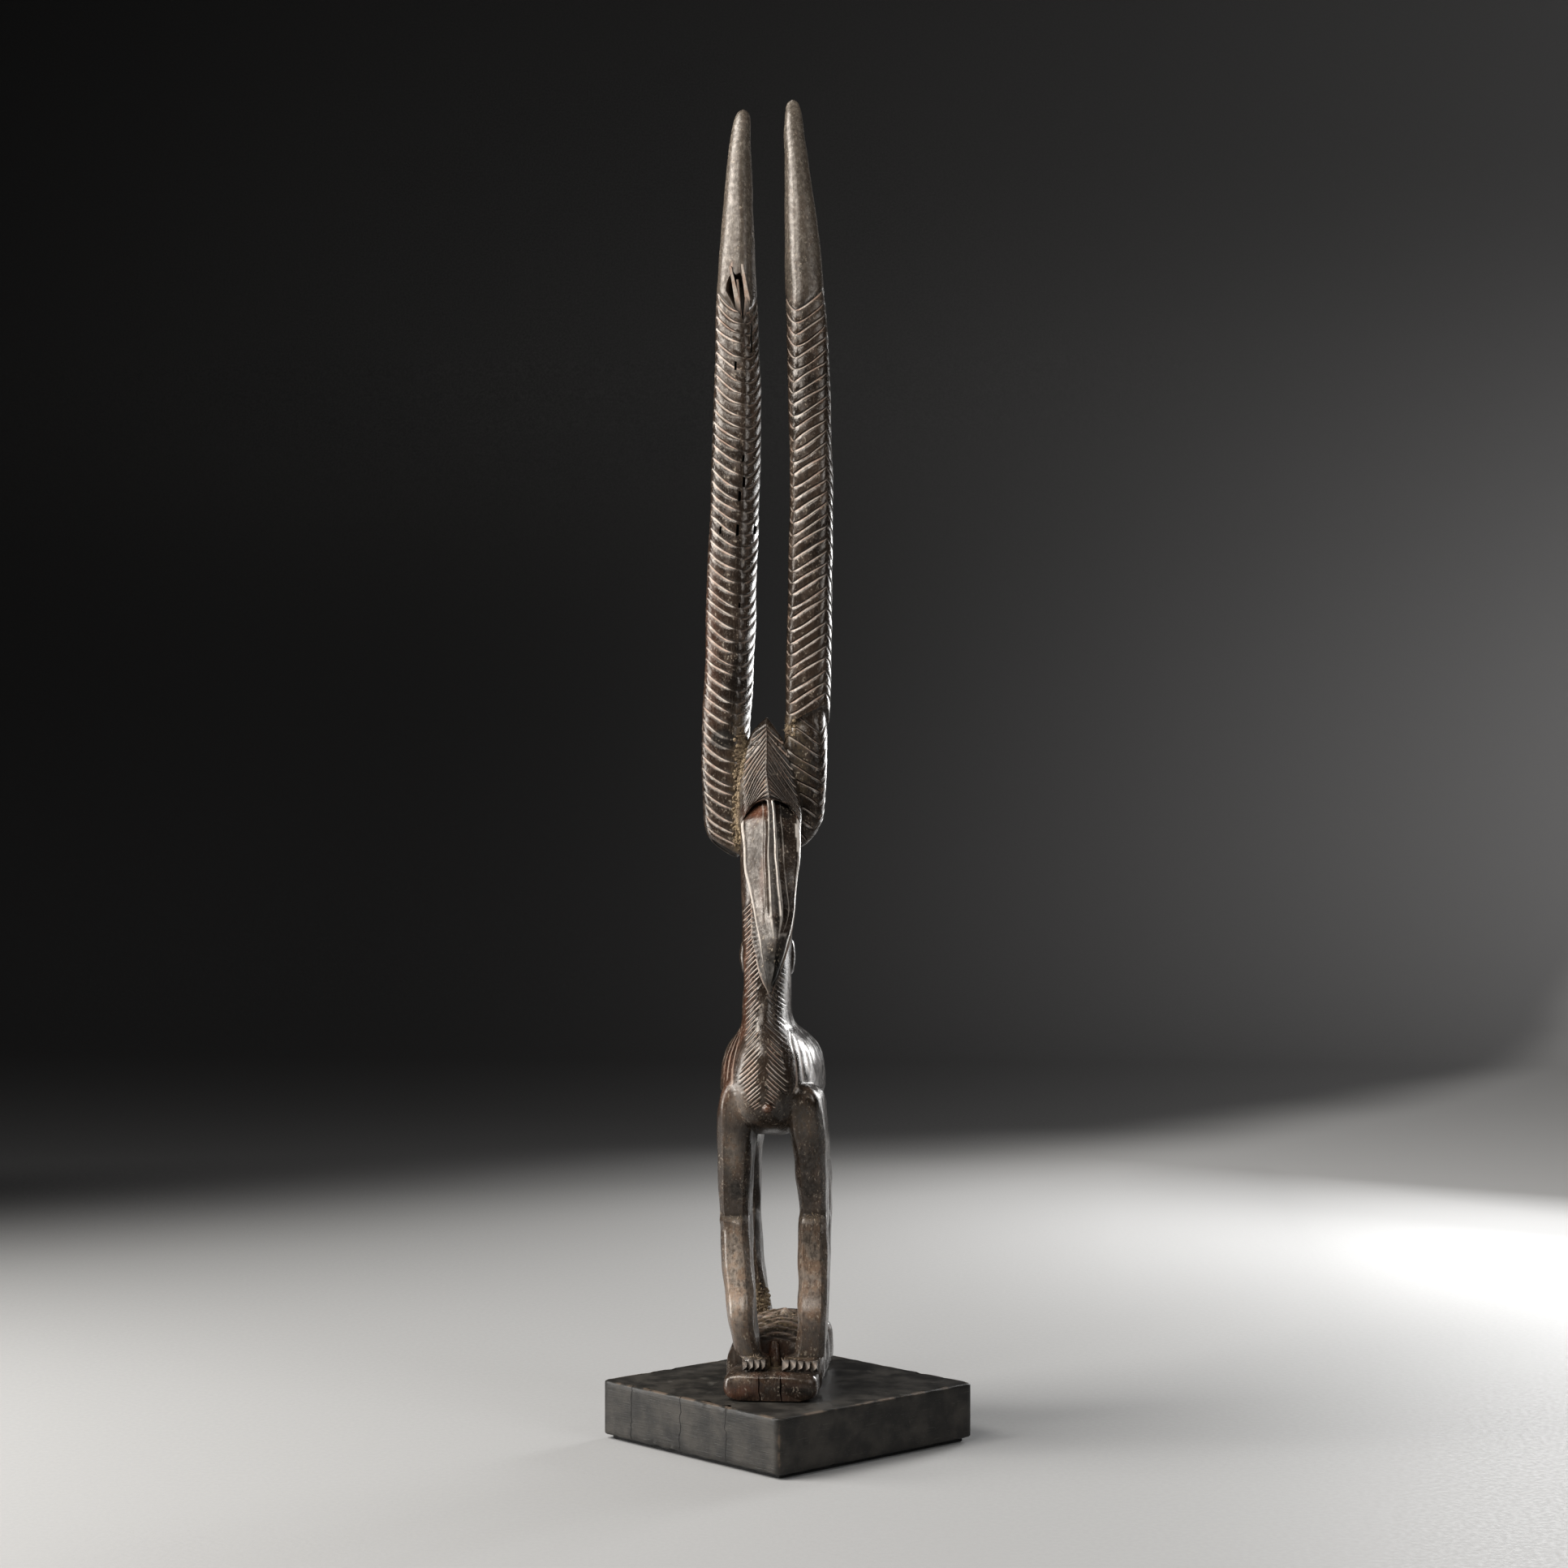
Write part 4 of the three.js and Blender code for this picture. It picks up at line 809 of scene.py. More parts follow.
def stained_wood(colours):
    """Near-black plinth: diagonal scuffs, specks, brown rubbed edges and fine upright cracks."""
    f = Finish("plinth_wood")
    clouds = f.noise((60,) * 3, 5, 0.6)
    specks = f.noise((900,) * 3, 2, 0.5)
    scuffs = f.noise((90, 90, 1500), 3, 0.6, (0.7, 0.5, 0.2))
    fibres = f.noise((40, 40, 900), 4, 0.6)
    crack = face_cracks(f)
    worn = (f.mask("edge") * clouds.ranged(0.36, 0.6, 0.1, 1)).ranged(0.45, 1, 0, 0.55)
    colour = f.mixed(
        colours.dark, (clouds.ranged(0.35, 0.7), colours.middle),
        (scuffs.ranged(0.62, 0.74, 0, 0.5), colours.scuff),
        (specks.ranged(0.68, 0.76, 0, 0.5), colours.scuff), (worn, colours.worn), (crack, CRACK_BLACK))
    f.shader.inputs["Specular IOR Level"].default_value = 0.22
    rough = clouds.ranged(0.3, 0.7, 0.38, 0.5) + scuffs.ranged(0.6, 0.75, 0, 0.1)
    height = fibres * 0.4 + scuffs.ranged(0.6, 0.75) * 0.3 - crack * 1.5
    return f.finish(colour, rough, height, 0.0003)


def felt():
    f = Finish("pad_felt")
    fibres, clouds = f.noise((1400,) * 3, 5, 0.7), f.noise((200,) * 3, 3, 0.6)
    colour = f.mixed((0.006, 0.006, 0.006), (fibres.ranged(0.35, 0.65), (0.03, 0.029, 0.028)))
    return f.finish(colour, clouds.ranged(0.3, 0.7, 0.88, 0.98), fibres, 0.0006)


def dry_dirt():
    f = Finish("dry_dirt")
    grains, clouds = f.noise((1800,) * 3, 3, 0.6), f.noise((160,) * 3, 3, 0.6)
    colour = f.mixed((0.09, 0.06, 0.034), (clouds.ranged(0.35, 0.65), (0.27, 0.2, 0.12)),
                     (grains.ranged(0.5, 0.7, 0, 0.6), (0.03, 0.02, 0.014)))
    return f.finish(colour, grains.ranged(0.3, 0.7, 0.8, 0.95), grains, 0.0003)


def loose_fibre():
    f = Finish("loose_fibre")
    clouds = f.noise((400,) * 3, 3, 0.6)
    colour = f.mixed((0.2, 0.14, 0.09), (clouds.ranged(0.35, 0.65), (0.36, 0.28, 0.19)))
    return f.finish(colour, clouds.ranged(0.3, 0.7, 0.5, 0.7), clouds, 0.0001)


# Horns

def horn_columns():
    """Face number and share across it, for each column of points round a horn."""
    return np.array([(face, k / count) for face, count in enumerate(HORN_COLUMNS) for k in range(count)]).T


def stroke_rows(low, high, pitch, phases, chance, jitter):
    """Levels of rows along strokes whose spacing is a little uneven, with their stroke numbers."""
    count = int((high - low) / pitch)
    starts = high - (count - np.arange(count + 2)) * pitch
    starts = starts + chance.uniform(-jitter, jitter, count + 2)
    levels = [starts[k] + (starts[k + 1] - starts[k]) * phase for k in range(count) for phase in phases]
    numbers = [k + phase for k in range(count) for phase in phases]
    levels += [starts[count], starts[count] + 0.25 * pitch]
    return np.array(levels), np.array(numbers + [count, count + 0.25])


def with_plain_ends(below, rows, numbers, above):
    """Levels and stroke numbers of rows between two plain ends, and which of them carry strokes."""
    levels = np.concatenate([below, rows, above])
    strokes = np.concatenate([np.full(len(below), 0.5), numbers, np.full(len(above), numbers[-1] + 0.3)])
    covered = np.zeros(len(levels), bool)
    covered[len(below):len(below) + len(rows)] = True
    return levels, strokes, covered


def horn(name, side, corners, table, low, top, plain, look, seed, depth=None):
    """One horn: a length covered in strokes, and its plain upper end (levels and rise left)."""
    chance = np.random.default_rng(seed)
    face, share = horn_columns()
    face = face.astype(int)
    rows, numbers = stroke_rows(low, top, look["pitch"], HORN_PHASES, chance, HORN_JITTER)
    levels = np.concatenate([rows, [level for level, _ in plain]])
    rises = np.concatenate([np.ones(len(rows)), [rise for _, rise in plain]])
    strokes = np.concatenate([numbers, np.full(len(plain), numbers[-1])])
    whole = strokes.astype(int)
    part = (strokes - whole)[:, None]
    climbs = np.where(face % 2 == 0, (1 - share) ** look["bow"], share ** look["bow"])
    tilts = chance.uniform(-1, 1, (int(numbers[-1]) + 3, 4))
    tilt = tilts[whole][:, face] * (1 - part) + tilts[whole + 1][:, face] * part
    climbs = climbs + tilt * np.sin(math.pi * share) * share * look["tilt"] / HORN_STROKE_RISE
    grid = np.stack(np.broadcast_arrays(levels[:, None] * 1.0, share * 9, face * 40.0), -1)
    wobble = HORN_WOBBLE * waves(grid, 7, seed)
    near_spine = np.minimum(share, 1 - share)
    z = levels[:, None] + rises[:, None] * (climbs * HORN_STROKE_RISE + wobble * smooth(near_spine, 0, 0.2))
    z = np.minimum(z, table[-1][0])
    middle, half = curve(table)(z)
    middle_y, half_depth = (depth or curve(HORN_DEPTH))(z)
    angle = np.radians(curve(corners)(levels)[0][:, None] + 90 * (face + share))
    local = np.radians(45 + 90 * (face + share))
    power = HORN_SECTION_POWER - TIP_ROUNDING * smooth(z, *TIP_ROUNDED)
    reach = (np.abs(np.cos(local)) ** power + np.abs(np.sin(local)) ** power) ** (-1 / power)
    rings = np.stack([middle + side * np.cos(angle) * reach * half,
                      middle_y - np.sin(angle) * reach * half_depth, z], -1)
    front = face % 2 == 0
    ends = smooth(share, 0, look["start"]) * smooth(1 - share, 0, look["finish"])
    across = np.where(front, ends, smooth(near_spine, 0, 0.12) * look["side"])
    across = np.maximum(across, look["spine"])
    own = 0.75 + 0.25 * chance.uniform(size=(int(numbers[-1]) + 2, 4))
    covered = np.arange(len(levels)) < len(numbers)
    strength = np.where(covered[:, None], across * own[whole[:, None], face], 0)
    fade = smooth(levels, low - 1, low + 6)[:, None]
    return loft(name, rings, stroke=strokes[:, None], strength=strength * fade,
                paleness=np.where(front, 1, look["side_pale"]))


def plain_end(table):
    """Levels above a horn's strokes and what is left there of their rise."""
    top, tip = HORN_STROKES_TOP, table[-1][0]
    rows = [(top + up, rise) for up, rise in PLAIN_RISES]
    rows += [(level, 0) for level in np.arange(top + 56, tip - 12, 5)]
    return rows + [(tip - drop, 0) for drop in TIP_DROPS]


def horns():
    left = horn("left_horn", -1, LEFT_CORNERS, LEFT_HORN, LEFT_HORN[0][0], HORN_STROKES_TOP,
                plain_end(LEFT_HORN), LEFT_LOOK, HORN_SEEDS[0])
    right = horn("right_horn", 1, RIGHT_CORNERS, RIGHT_HORN, RIGHT_HORN_START, HORN_STROKES_TOP,
                 plain_end(RIGHT_HORN), RIGHT_LOOK, HORN_SEEDS[1])
    whole = curve(HORN_DEPTH)

    def tucked(z):
        middle, half = whole(z)
        return middle, half - ROOT_TUCK * smooth(z, RIGHT_HORN_START, RIGHT_HORN_START + 6)

    top = RIGHT_ROOT[-1][0]
    ending = [(RIGHT_HORN_START + up, rise) for up, rise in ((3, 0.8), (6, 0.6), (12, 0.3))] + [(top, 0)]
    root = horn("right_root", 1, RIGHT_ROOT_CORNERS, RIGHT_ROOT, RIGHT_ROOT[0][0], RIGHT_HORN_START,
                ending, dict(RIGHT_LOOK, bow=1.0), HORN_SEEDS[2], tucked)
    return left, right, root


def prism(name, outline, near, far, narrowing=(1, 1), steps=2, **masks):
    """An outline in x and z, carried along y, that may narrow towards its far end."""
    shape = np.array(outline, float)
    centre = shape.mean(0)
    rings = []
    for t in np.linspace(0, 1, steps):
        scale = 1 + (np.array(narrowing) - 1) * t
        points = centre + (shape - centre) * scale
        y = np.full(len(points), near + (far - near) * t)
        rings.append(np.stack([points[:, 0], y, points[:, 1]], -1))
    return loft(name, rings, **masks)


def horn_damage():
    """Cutters for the split and the short slots in the left horn, and the splinters that stay."""
    # the cutters leave painted shade inside the split and the slots
    cuts = [prism("split", SPLIT_RIM, *SPLIT_DEPTHS, (0.5, 0.75), 5, cut=0.2, crevice=0.55)]
    for number, (x, z, half, tall) in enumerate(SLOTS):
        outline = [(x - half, z - tall), (x + half * 0.8, z - tall * 0.9), (x + half, z + tall * 0.8),
                   (x - half * 0.6, z + tall)]
        far = 11.5 + (z - 478) * 0.055
        cuts.append(prism(f"slot_{number}", outline, -12, far, (0.9, 0.9), cut=0.1, crevice=0.8))
    splinters = []
    for number, outline in enumerate(SPLINTERS):
        near = 18.4 + 0.8 * number
        splinters.append(prism(f"splinter_{number}", outline, near, near + 5.5, (0.7, 0.98),
                               cut=0.8, crevice=0))
    return cuts, splinters


# Neck and body

def trunk():
    """Neck and body, with strokes down the neck and chest and border lines beside them."""
    chance = np.random.default_rng(TRUNK_SEED)
    rows, numbers = stroke_rows(*NECK_STROKES, NECK_PITCH, NECK_PHASES, chance, NECK_JITTER)
    above = [*np.arange(rows[-1] + 3, 392, 5), 394, 398, 401]
    levels, strokes, covered = with_plain_ends(TRUNK_FOOT, rows, numbers, above)
    lines = np.array(BORDER_LINES)
    half_round = np.unique(np.concatenate([np.linspace(0, 1, 15)[1:], lines - 0.01, lines, lines + 0.01,
                                           BETWEEN_LINES, np.linspace(1.34, 2, 8)[:-1]]))
    away = np.concatenate([[0], half_round, [2], half_round[::-1]])
    side = np.concatenate([[1], np.ones(len(half_round)), [1], -np.ones(len(half_round))])
    level = levels[:, None]
    bib = curve(BIB)(level)[0]
    slope = BIB_SLOPE * smooth(level, *BIB_LEVEL_OUT)
    z = level - slope * bib * np.minimum(away, 1)
    middle, half, front, back, power = curve(TRUNK)(z)
    narrow = np.minimum(bib / half, 0.98)
    edge = np.arcsin(narrow ** (power / 2))
    inner = np.arcsin(np.clip(narrow * np.minimum(away, 1), 0, 1) ** (power / 2))
    squeeze = 0.45 + 0.55 * smooth(level, 174, 206)
    lined = LINES_END - 1
    beyond = np.where(away < LINES_END, (away - 1) * squeeze,
                      lined * squeeze + (away - LINES_END) * (1 - lined * squeeze) / (1 - lined))
    angle = np.where(away <= 1, inner, edge + (math.pi - edge) * beyond)
    x = middle + side * np.sin(angle).clip(0) ** (2 / power) * half
    y = (back + front) / 2 - signed_power(np.cos(angle), 2 / power) * (back - front) / 2
    which = np.clip(strokes, 0, None).astype(int)
    starts = chance.uniform(0.05, 0.3, (which.max() + 1, 2))[which]
    finishes = chance.uniform(0.78, 1.03, (which.max() + 1, 2))[which]
    starts = np.where(side > 0, starts[:, :1], starts[:, 1:])
    finishes = np.where(side > 0, finishes[:, :1], finishes[:, 1:])
    strength = smooth(away, starts, starts + 0.1) * (1 - smooth(away, finishes - 0.08, finishes))
    strength = strength * covered[:, None] * smooth(level, 172, 180)
    strength = strength * (1 - 0.45 * (side > 0) * smooth(level, 208, 226))
    border = np.zeros(x.shape)
    for number, line in enumerate(lines):
        low = 181 + 5 * number
        shown = smooth(z, low, low + 6) * (1 - smooth(z, 210, 226 - 3 * number))
        border += (np.abs(away - line) < 0.001) * shown
    x -= side * border * 0.2
    y += border * 0.3
    # the strokes on the right side of the chest are painted less pale: painted shade on the side away from
    # the light
    paleness = 1 - 0.5 * (side > 0) * smooth(level, 210, 226)
    return loft("trunk", np.stack([x, y, z], -1), stroke=strokes[:, None], strength=strength,
                border=border * 0.6, paleness=paleness)


def knob():
    """Small round knob on the chest."""
    (x, y, z), (wide, deep, tall) = KNOB_CENTRE, KNOB_RADII
    rings = [[(x + wide * math.sin(a) * math.cos(t), y + deep * math.sin(a) * math.sin(t),
               z - tall * math.cos(a)) for t in full_turn(20)] for a in np.linspace(0, math.pi, 13)[1:-1]]
    return loft("chest_knob", rings)


# Head

def head():
    """Face, brow and crest: the front follows the tables, and the back is closed round behind it."""
    chance = np.random.default_rng(HEAD_SEED)
    left, right, ridge = curve(HEAD_LEFT), curve(HEAD_RIGHT), curve(HEAD_RIDGE)
    edge, back, sides = curve(HEAD_EDGE_Y), curve(HEAD_BACK_Y), curve(SKULL_SIDES)
    hair, numbers = stroke_rows(BROW_LEVEL + 0.6, HAIR_TOP, HAIR_PITCH, HAIR_PHASES, chance, HAIR_JITTER)
    below = np.concatenate([np.arange(245, NOSE_END - 2, 1.5),
                            np.linspace(NOSE_END - 2, NOSE_END + 3, 11)[:-1],
                            np.arange(NOSE_END + 3, BROW_LEVEL - 12, 1.7),
                            np.linspace(BROW_LEVEL - 11, BROW_LEVEL - 0.5, 14), [BROW_LEVEL]])
    above = [HAIR_TOP + 1, HAIR_TOP + 2.2, HAIR_TOP + 3.4, HAIR_TOP + 4.4, CREST_LEVEL]
    levels, strokes, covered = with_plain_ends(below, hair, numbers, above)
    half = np.unique(np.concatenate([FACE_COLUMNS, np.linspace(0.45, 0.95, 11), [0.98, 1.0]]))
    u = np.concatenate([-half[::-1], [0], half])
    away = np.abs(u)
    level = levels[:, None]
    arch, lean = curve(HAIR_DROPS)(level)
    z = level - arch * away**2.2 - lean * away**1.15
    ridge_x, ridge_y = ridge(z)
    edge_x = np.where(u < 0, left(z)[0], right(z)[0])
    under = level < BROW_LEVEL - 0.01
    nosed = under * smooth(level, NOSE_END - 14, NOSE_END + 2)
    reach = np.abs(edge_x - ridge_x)
    bar_half = np.minimum(curve(BAR_HALF)(z)[0], reach * 0.4)
    flank_end = np.minimum(bar_half + BAR_FLANK, reach * 0.75)
    steps = [away * 0, away * 0 + NOSE_BAR, away * 0 + CHEEK_CREST, away * 0 + 1]
    stops = [away * 0, bar_half, flank_end, reach]
    by_width = np.zeros(z.shape)
    for low, high, start, stop in zip(steps, steps[1:], stops, stops[1:]):
        inside = (away > low - 1e-9) & (away <= high + 1e-9)
        by_width = np.where(inside, start + (stop - start) * (away - low) / (high - low), by_width)
    out = by_width * nosed + away * reach * (1 - nosed)
    x = ridge_x + np.sign(u) * out + curve(BAR_SHIFT)(z)[0] * nosed * (1 - smooth(away, 0.2, 0.6))
    y = ridge_y + (edge(z)[0] - ridge_y) * (out / np.maximum(reach, 0.1)) ** 1.25
    y += 1.7 * np.clip((away - 0.86) / 0.14, 0, 1) ** 2
    beside = np.clip((1 - away) / (1 - CHEEK_CREST), 0, 1)
    bar = under * smooth(level, NOSE_END - 1.2, NOSE_END + 1.6) * (away <= NOSE_BAR + 1e-6)
    rim = 0.9 * (away / NOSE_BAR) ** 2 - 0.5
    y -= bar * (NOSE_PROUD + rim)
    flank = under * (away > NOSE_BAR + 1e-6)
    down = (away - NOSE_BAR) / (CHEEK_CREST - NOSE_BAR)
    groove = np.where(away < CHEEK_CREST, smooth(down, 1.15, 0.1), 0)
    faded = smooth(level, NOSE_END - 6, NOSE_END + 8)
    y += flank * faded * (NOSE_GROOVE * groove * beside + 0.9 * (1 - smooth(away, 0.5, 0.9)) * (away > 0.3))
    under_brow = (BROW_LEVEL - level) / (2.5 + 9 * (1 - np.clip((away - 0.3) / 0.7, 0, 1)))
    hollow = np.clip(1 - under_brow, 0, 1) * (1 - smooth(away, 0.9, 1.0)) * smooth(away, NOSE_BAR, 0.22)
    y += flank * BROW_OVERHANG * hollow
    pit = spot(np.stack([x, z], -1), (1.2, NOSE_END - 2.6), (4.2, 3.2))
    y += 1.3 * pit
    mouth = spot(np.stack([x, z], -1), (3.4, 277.3), (4.2, 2.6))
    slit = spot(np.stack([x, z], -1), (3.4, 277), (3.0, 1.0))
    y -= 1.3 * mouth - 1.5 * slit
    proud_left, proud_right = sides(levels)
    mid = (x[:, 0] + x[:, -1]) / 2
    back_y = back(levels)[0]

    def side_y(front_y, share):
        return np.maximum(back_y, front_y + 0.6) * share + front_y * (1 - share)

    def behind(column, way, share, more):
        reach = np.maximum(np.abs(x[:, column] - mid) + more, 0.4)
        return np.stack([mid + way * reach, side_y(y[:, column], share), z[:, column]], -1)

    face = np.stack([x, y, z], -1)
    nape = np.stack([mid, side_y(np.maximum(y[:, 0], y[:, -1]), 1) + 1, (z[:, 0] + z[:, -1]) / 2], -1)
    key = [face[:, -1], behind(-1, 1, 0.45, proud_right), behind(-1, 1, 1, proud_right * 1.2 - 1.4), nape,
           behind(0, -1, 1, proud_left * 1.2 - 1.4), behind(0, -1, 0.45, proud_left), face[:, 0]]
    rear = [a + (b - a) * t for a, b in zip(key, key[1:]) for t in (0, 0.25, 0.5, 0.75)][1:]
    rings = np.concatenate([face, np.stack(rear, 1)], 1)

    def face_only(values):
        """A mask of the face's columns, with nothing behind."""
        spread = np.zeros(rings.shape[:2])
        spread[:, :len(u)] = values
        return spread

    on_face = (1 - smooth(away, 0.9, 1.0)) * smooth(away, 0.0, 0.09)
    on_face = on_face * np.where(u < 0, 1 - smooth(away, 0.74, 0.86), 1)
    # painted highlights along the nose bar's rims and the cheek crest, and along the face's outer edges,
    # widest on the right near the brow
    highlight_lines = nosed * ((away > 0.12) & (away < 0.179)) + 0.35 * nosed * (np.abs(away - CHEEK_CREST) < 0.02)
    wide = 0.08 * spot(level[..., None], (346,), (20,))
    edge_highlight = smooth(level, 256, 266) * (away > np.where(u > 0, 0.92 - wide, 0.945))
    edge_highlight = edge_highlight * (1 - smooth(level, 352, 366))
    edges = np.clip(highlight_lines + edge_highlight * np.where(u > 0, 1, 0.75), 0, 1)
    # the painted highlight also rings the mouth, but not its slit
    rubbed = face_only(np.clip(edges + 0.5 * smooth(mouth, 0.3, 0.6) - slit, 0, 1))
    rubbed[:, len(u)] = edge_highlight[:, -1] * 0.6
    # painted shade down the middle of the nose bar, under the brows and in the mouth's slit
    ridge_shade = 0.8 * nosed * (away < 0.095) * (1 - smooth(level, 352, 358))
    shade = face_only(ridge_shade + (0.7 * flank * (hollow > 0.84) + 0.9 * slit))
    strength = face_only(np.where(covered[:, None], on_face, 0))
    return loft("head", rings, stroke=strokes[:, None], strength=strength, rubbed=rubbed,
                shade=shade, paleness=1)


def jaw():
    """Lower jaw: a thin wedge behind the muzzle, with two fine ribs on the left and one on the right."""
    levels = np.concatenate([np.linspace(243.5, 250, 9), np.arange(251, 300, 0.9), [300]])
    left, right, front, back = columns(JAW, levels)
    turn = full_turn(72)
    ribs = sum(np.exp(-(((turn - at) / 0.13) ** 2))
               for at in (math.pi - 0.3, math.pi + 0.3, 2 * math.pi - 0.35))
    barbs = smooth(np.cos(turn - math.pi), 0.45, 0.85) * smooth(levels, 262, 266)[:, None]
    barbs = barbs * smooth((levels[:, None] + 2.2 * np.sin(turn)) % 2.8, 1.2, 0.7)
    rise = ribs * 0.7 - barbs * 0.6
    x = (left + right) / 2 + signed_power(np.cos(turn), 0.8) * ((right - left) / 2) + np.cos(turn) * rise
    y = (front + back) / 2 + signed_power(np.sin(turn), 0.9) * ((back - front) / 2)
    y = y + np.sin(turn) * rise
    # painted shade in the small nicks
    return loft("jaw", level_rings(x, y, levels), cut=ribs[None, :] * 0.6 * (1 - barbs),
                crevice=barbs * 0.9)


# Legs

def leg(name, rows, seed, turned=0):
    """A leg in level sections: eight flat facets with slightly softened edges.

    Below the knee, the left part of the front may be turned back by some millimetres.
    """
    knots = [row[0] for row in rows]
    levels = [knots[0]]
    for low, high in zip(knots, knots[1:]):
        count = max(2, int(math.ceil((high - low) / LEG_LEVEL_GAP)))
        levels += list(np.linspace(low, high, count + 1)[1:])
    levels = np.array(levels)
    middle, half, front, back = columns(rows, levels)
    turn = np.radians(22.5 + np.arange(0, 360, 7.5))
    round_x, round_y = [signed_power(way(turn), FACET_SHARPNESS) for way in (np.cos, np.sin)]
    corner = np.arange(len(turn)) // 6 * 6
    after = (corner + 6) % len(turn)
    t = (np.arange(len(turn)) % 6) / 6
    flat_x = round_x[corner] * (1 - t) + round_x[after] * t
    flat_y = round_y[corner] * (1 - t) + round_y[after] * t
    ux, uy = (flat_x * 0.8 + round_x * 0.2) * 1.03, (flat_y * 0.8 + round_y * 0.2) * 1.03
    grid = np.stack(np.broadcast_arrays(levels[:, None], turn * 12, turn * 0), -1)
    uneven = LEG_UNEVENNESS * waves(grid, 14, seed)
    x = middle + ux * (half + uneven)
    y = (front + back) / 2 + uy * ((back - front) / 2 + uneven)
    y += turned * np.clip(0.2 - ux, 0, 1.2) * smooth(-uy, 0, 0.6) * (1 - smooth(levels, 99, 104))[:, None]
    return loft(name, level_rings(x, y, levels))


def legs():
    made = [leg("front_leg_left", FRONT_LEG_LEFT, LEG_SEED, LEFT_LEG_TURN),
            leg("front_leg_right", FRONT_LEG_RIGHT, LEG_SEED + 1)]
    for name, column in (("hind_leg_left", 1), ("hind_leg_right", 2)):
        rows = [(row[0], row[column], *row[3:]) for row in HIND_LEGS]
        made.append(leg(name, rows, LEG_SEED + 2 + column))
    return made


def toes(tree, material):
    """Pointed toes in a row along the front of each front foot."""
    made = []
    for number, (middle, half, count) in enumerate(FEET):
        pitch = (half * 2 - 0.6) / count
        w, tall = pitch * 0.44, TOE_HALF_HEIGHT
        box = [(-w, -tall), (w, -tall), (w, tall), (-w, tall)]
        tip = w * 0.85
        rings = [[(x, 3, z) for x, z in box], [(x, 0, z) for x, z in box],
                 [(tip + 0.05 * x, -TOE_REACH, 0.05 * z - 0.2) for x, z in box]]
        # painted highlight on the left face of each toe, painted shade on its right face and at its root
        toe = loft(f"toe_{number}", rings, rubbed=[[0] * 4, [0.1, 0, 0, 0.12], [0.4, 0, 0, 0.4]],
                   crevice=[[1] * 4, [0.5, 1, 1, 0.3], [0, 0.9, 0.8, 0]])
        start = (middle - half + 0.3 + pitch / 2, TOES_Y + 0.2, TOES_Z)
        made.append(use_tree(toe, tree, material, count=count, smallest=0.8, seed=number, start=start,
                             step=(pitch, 0, 0)))
    return made


# Base

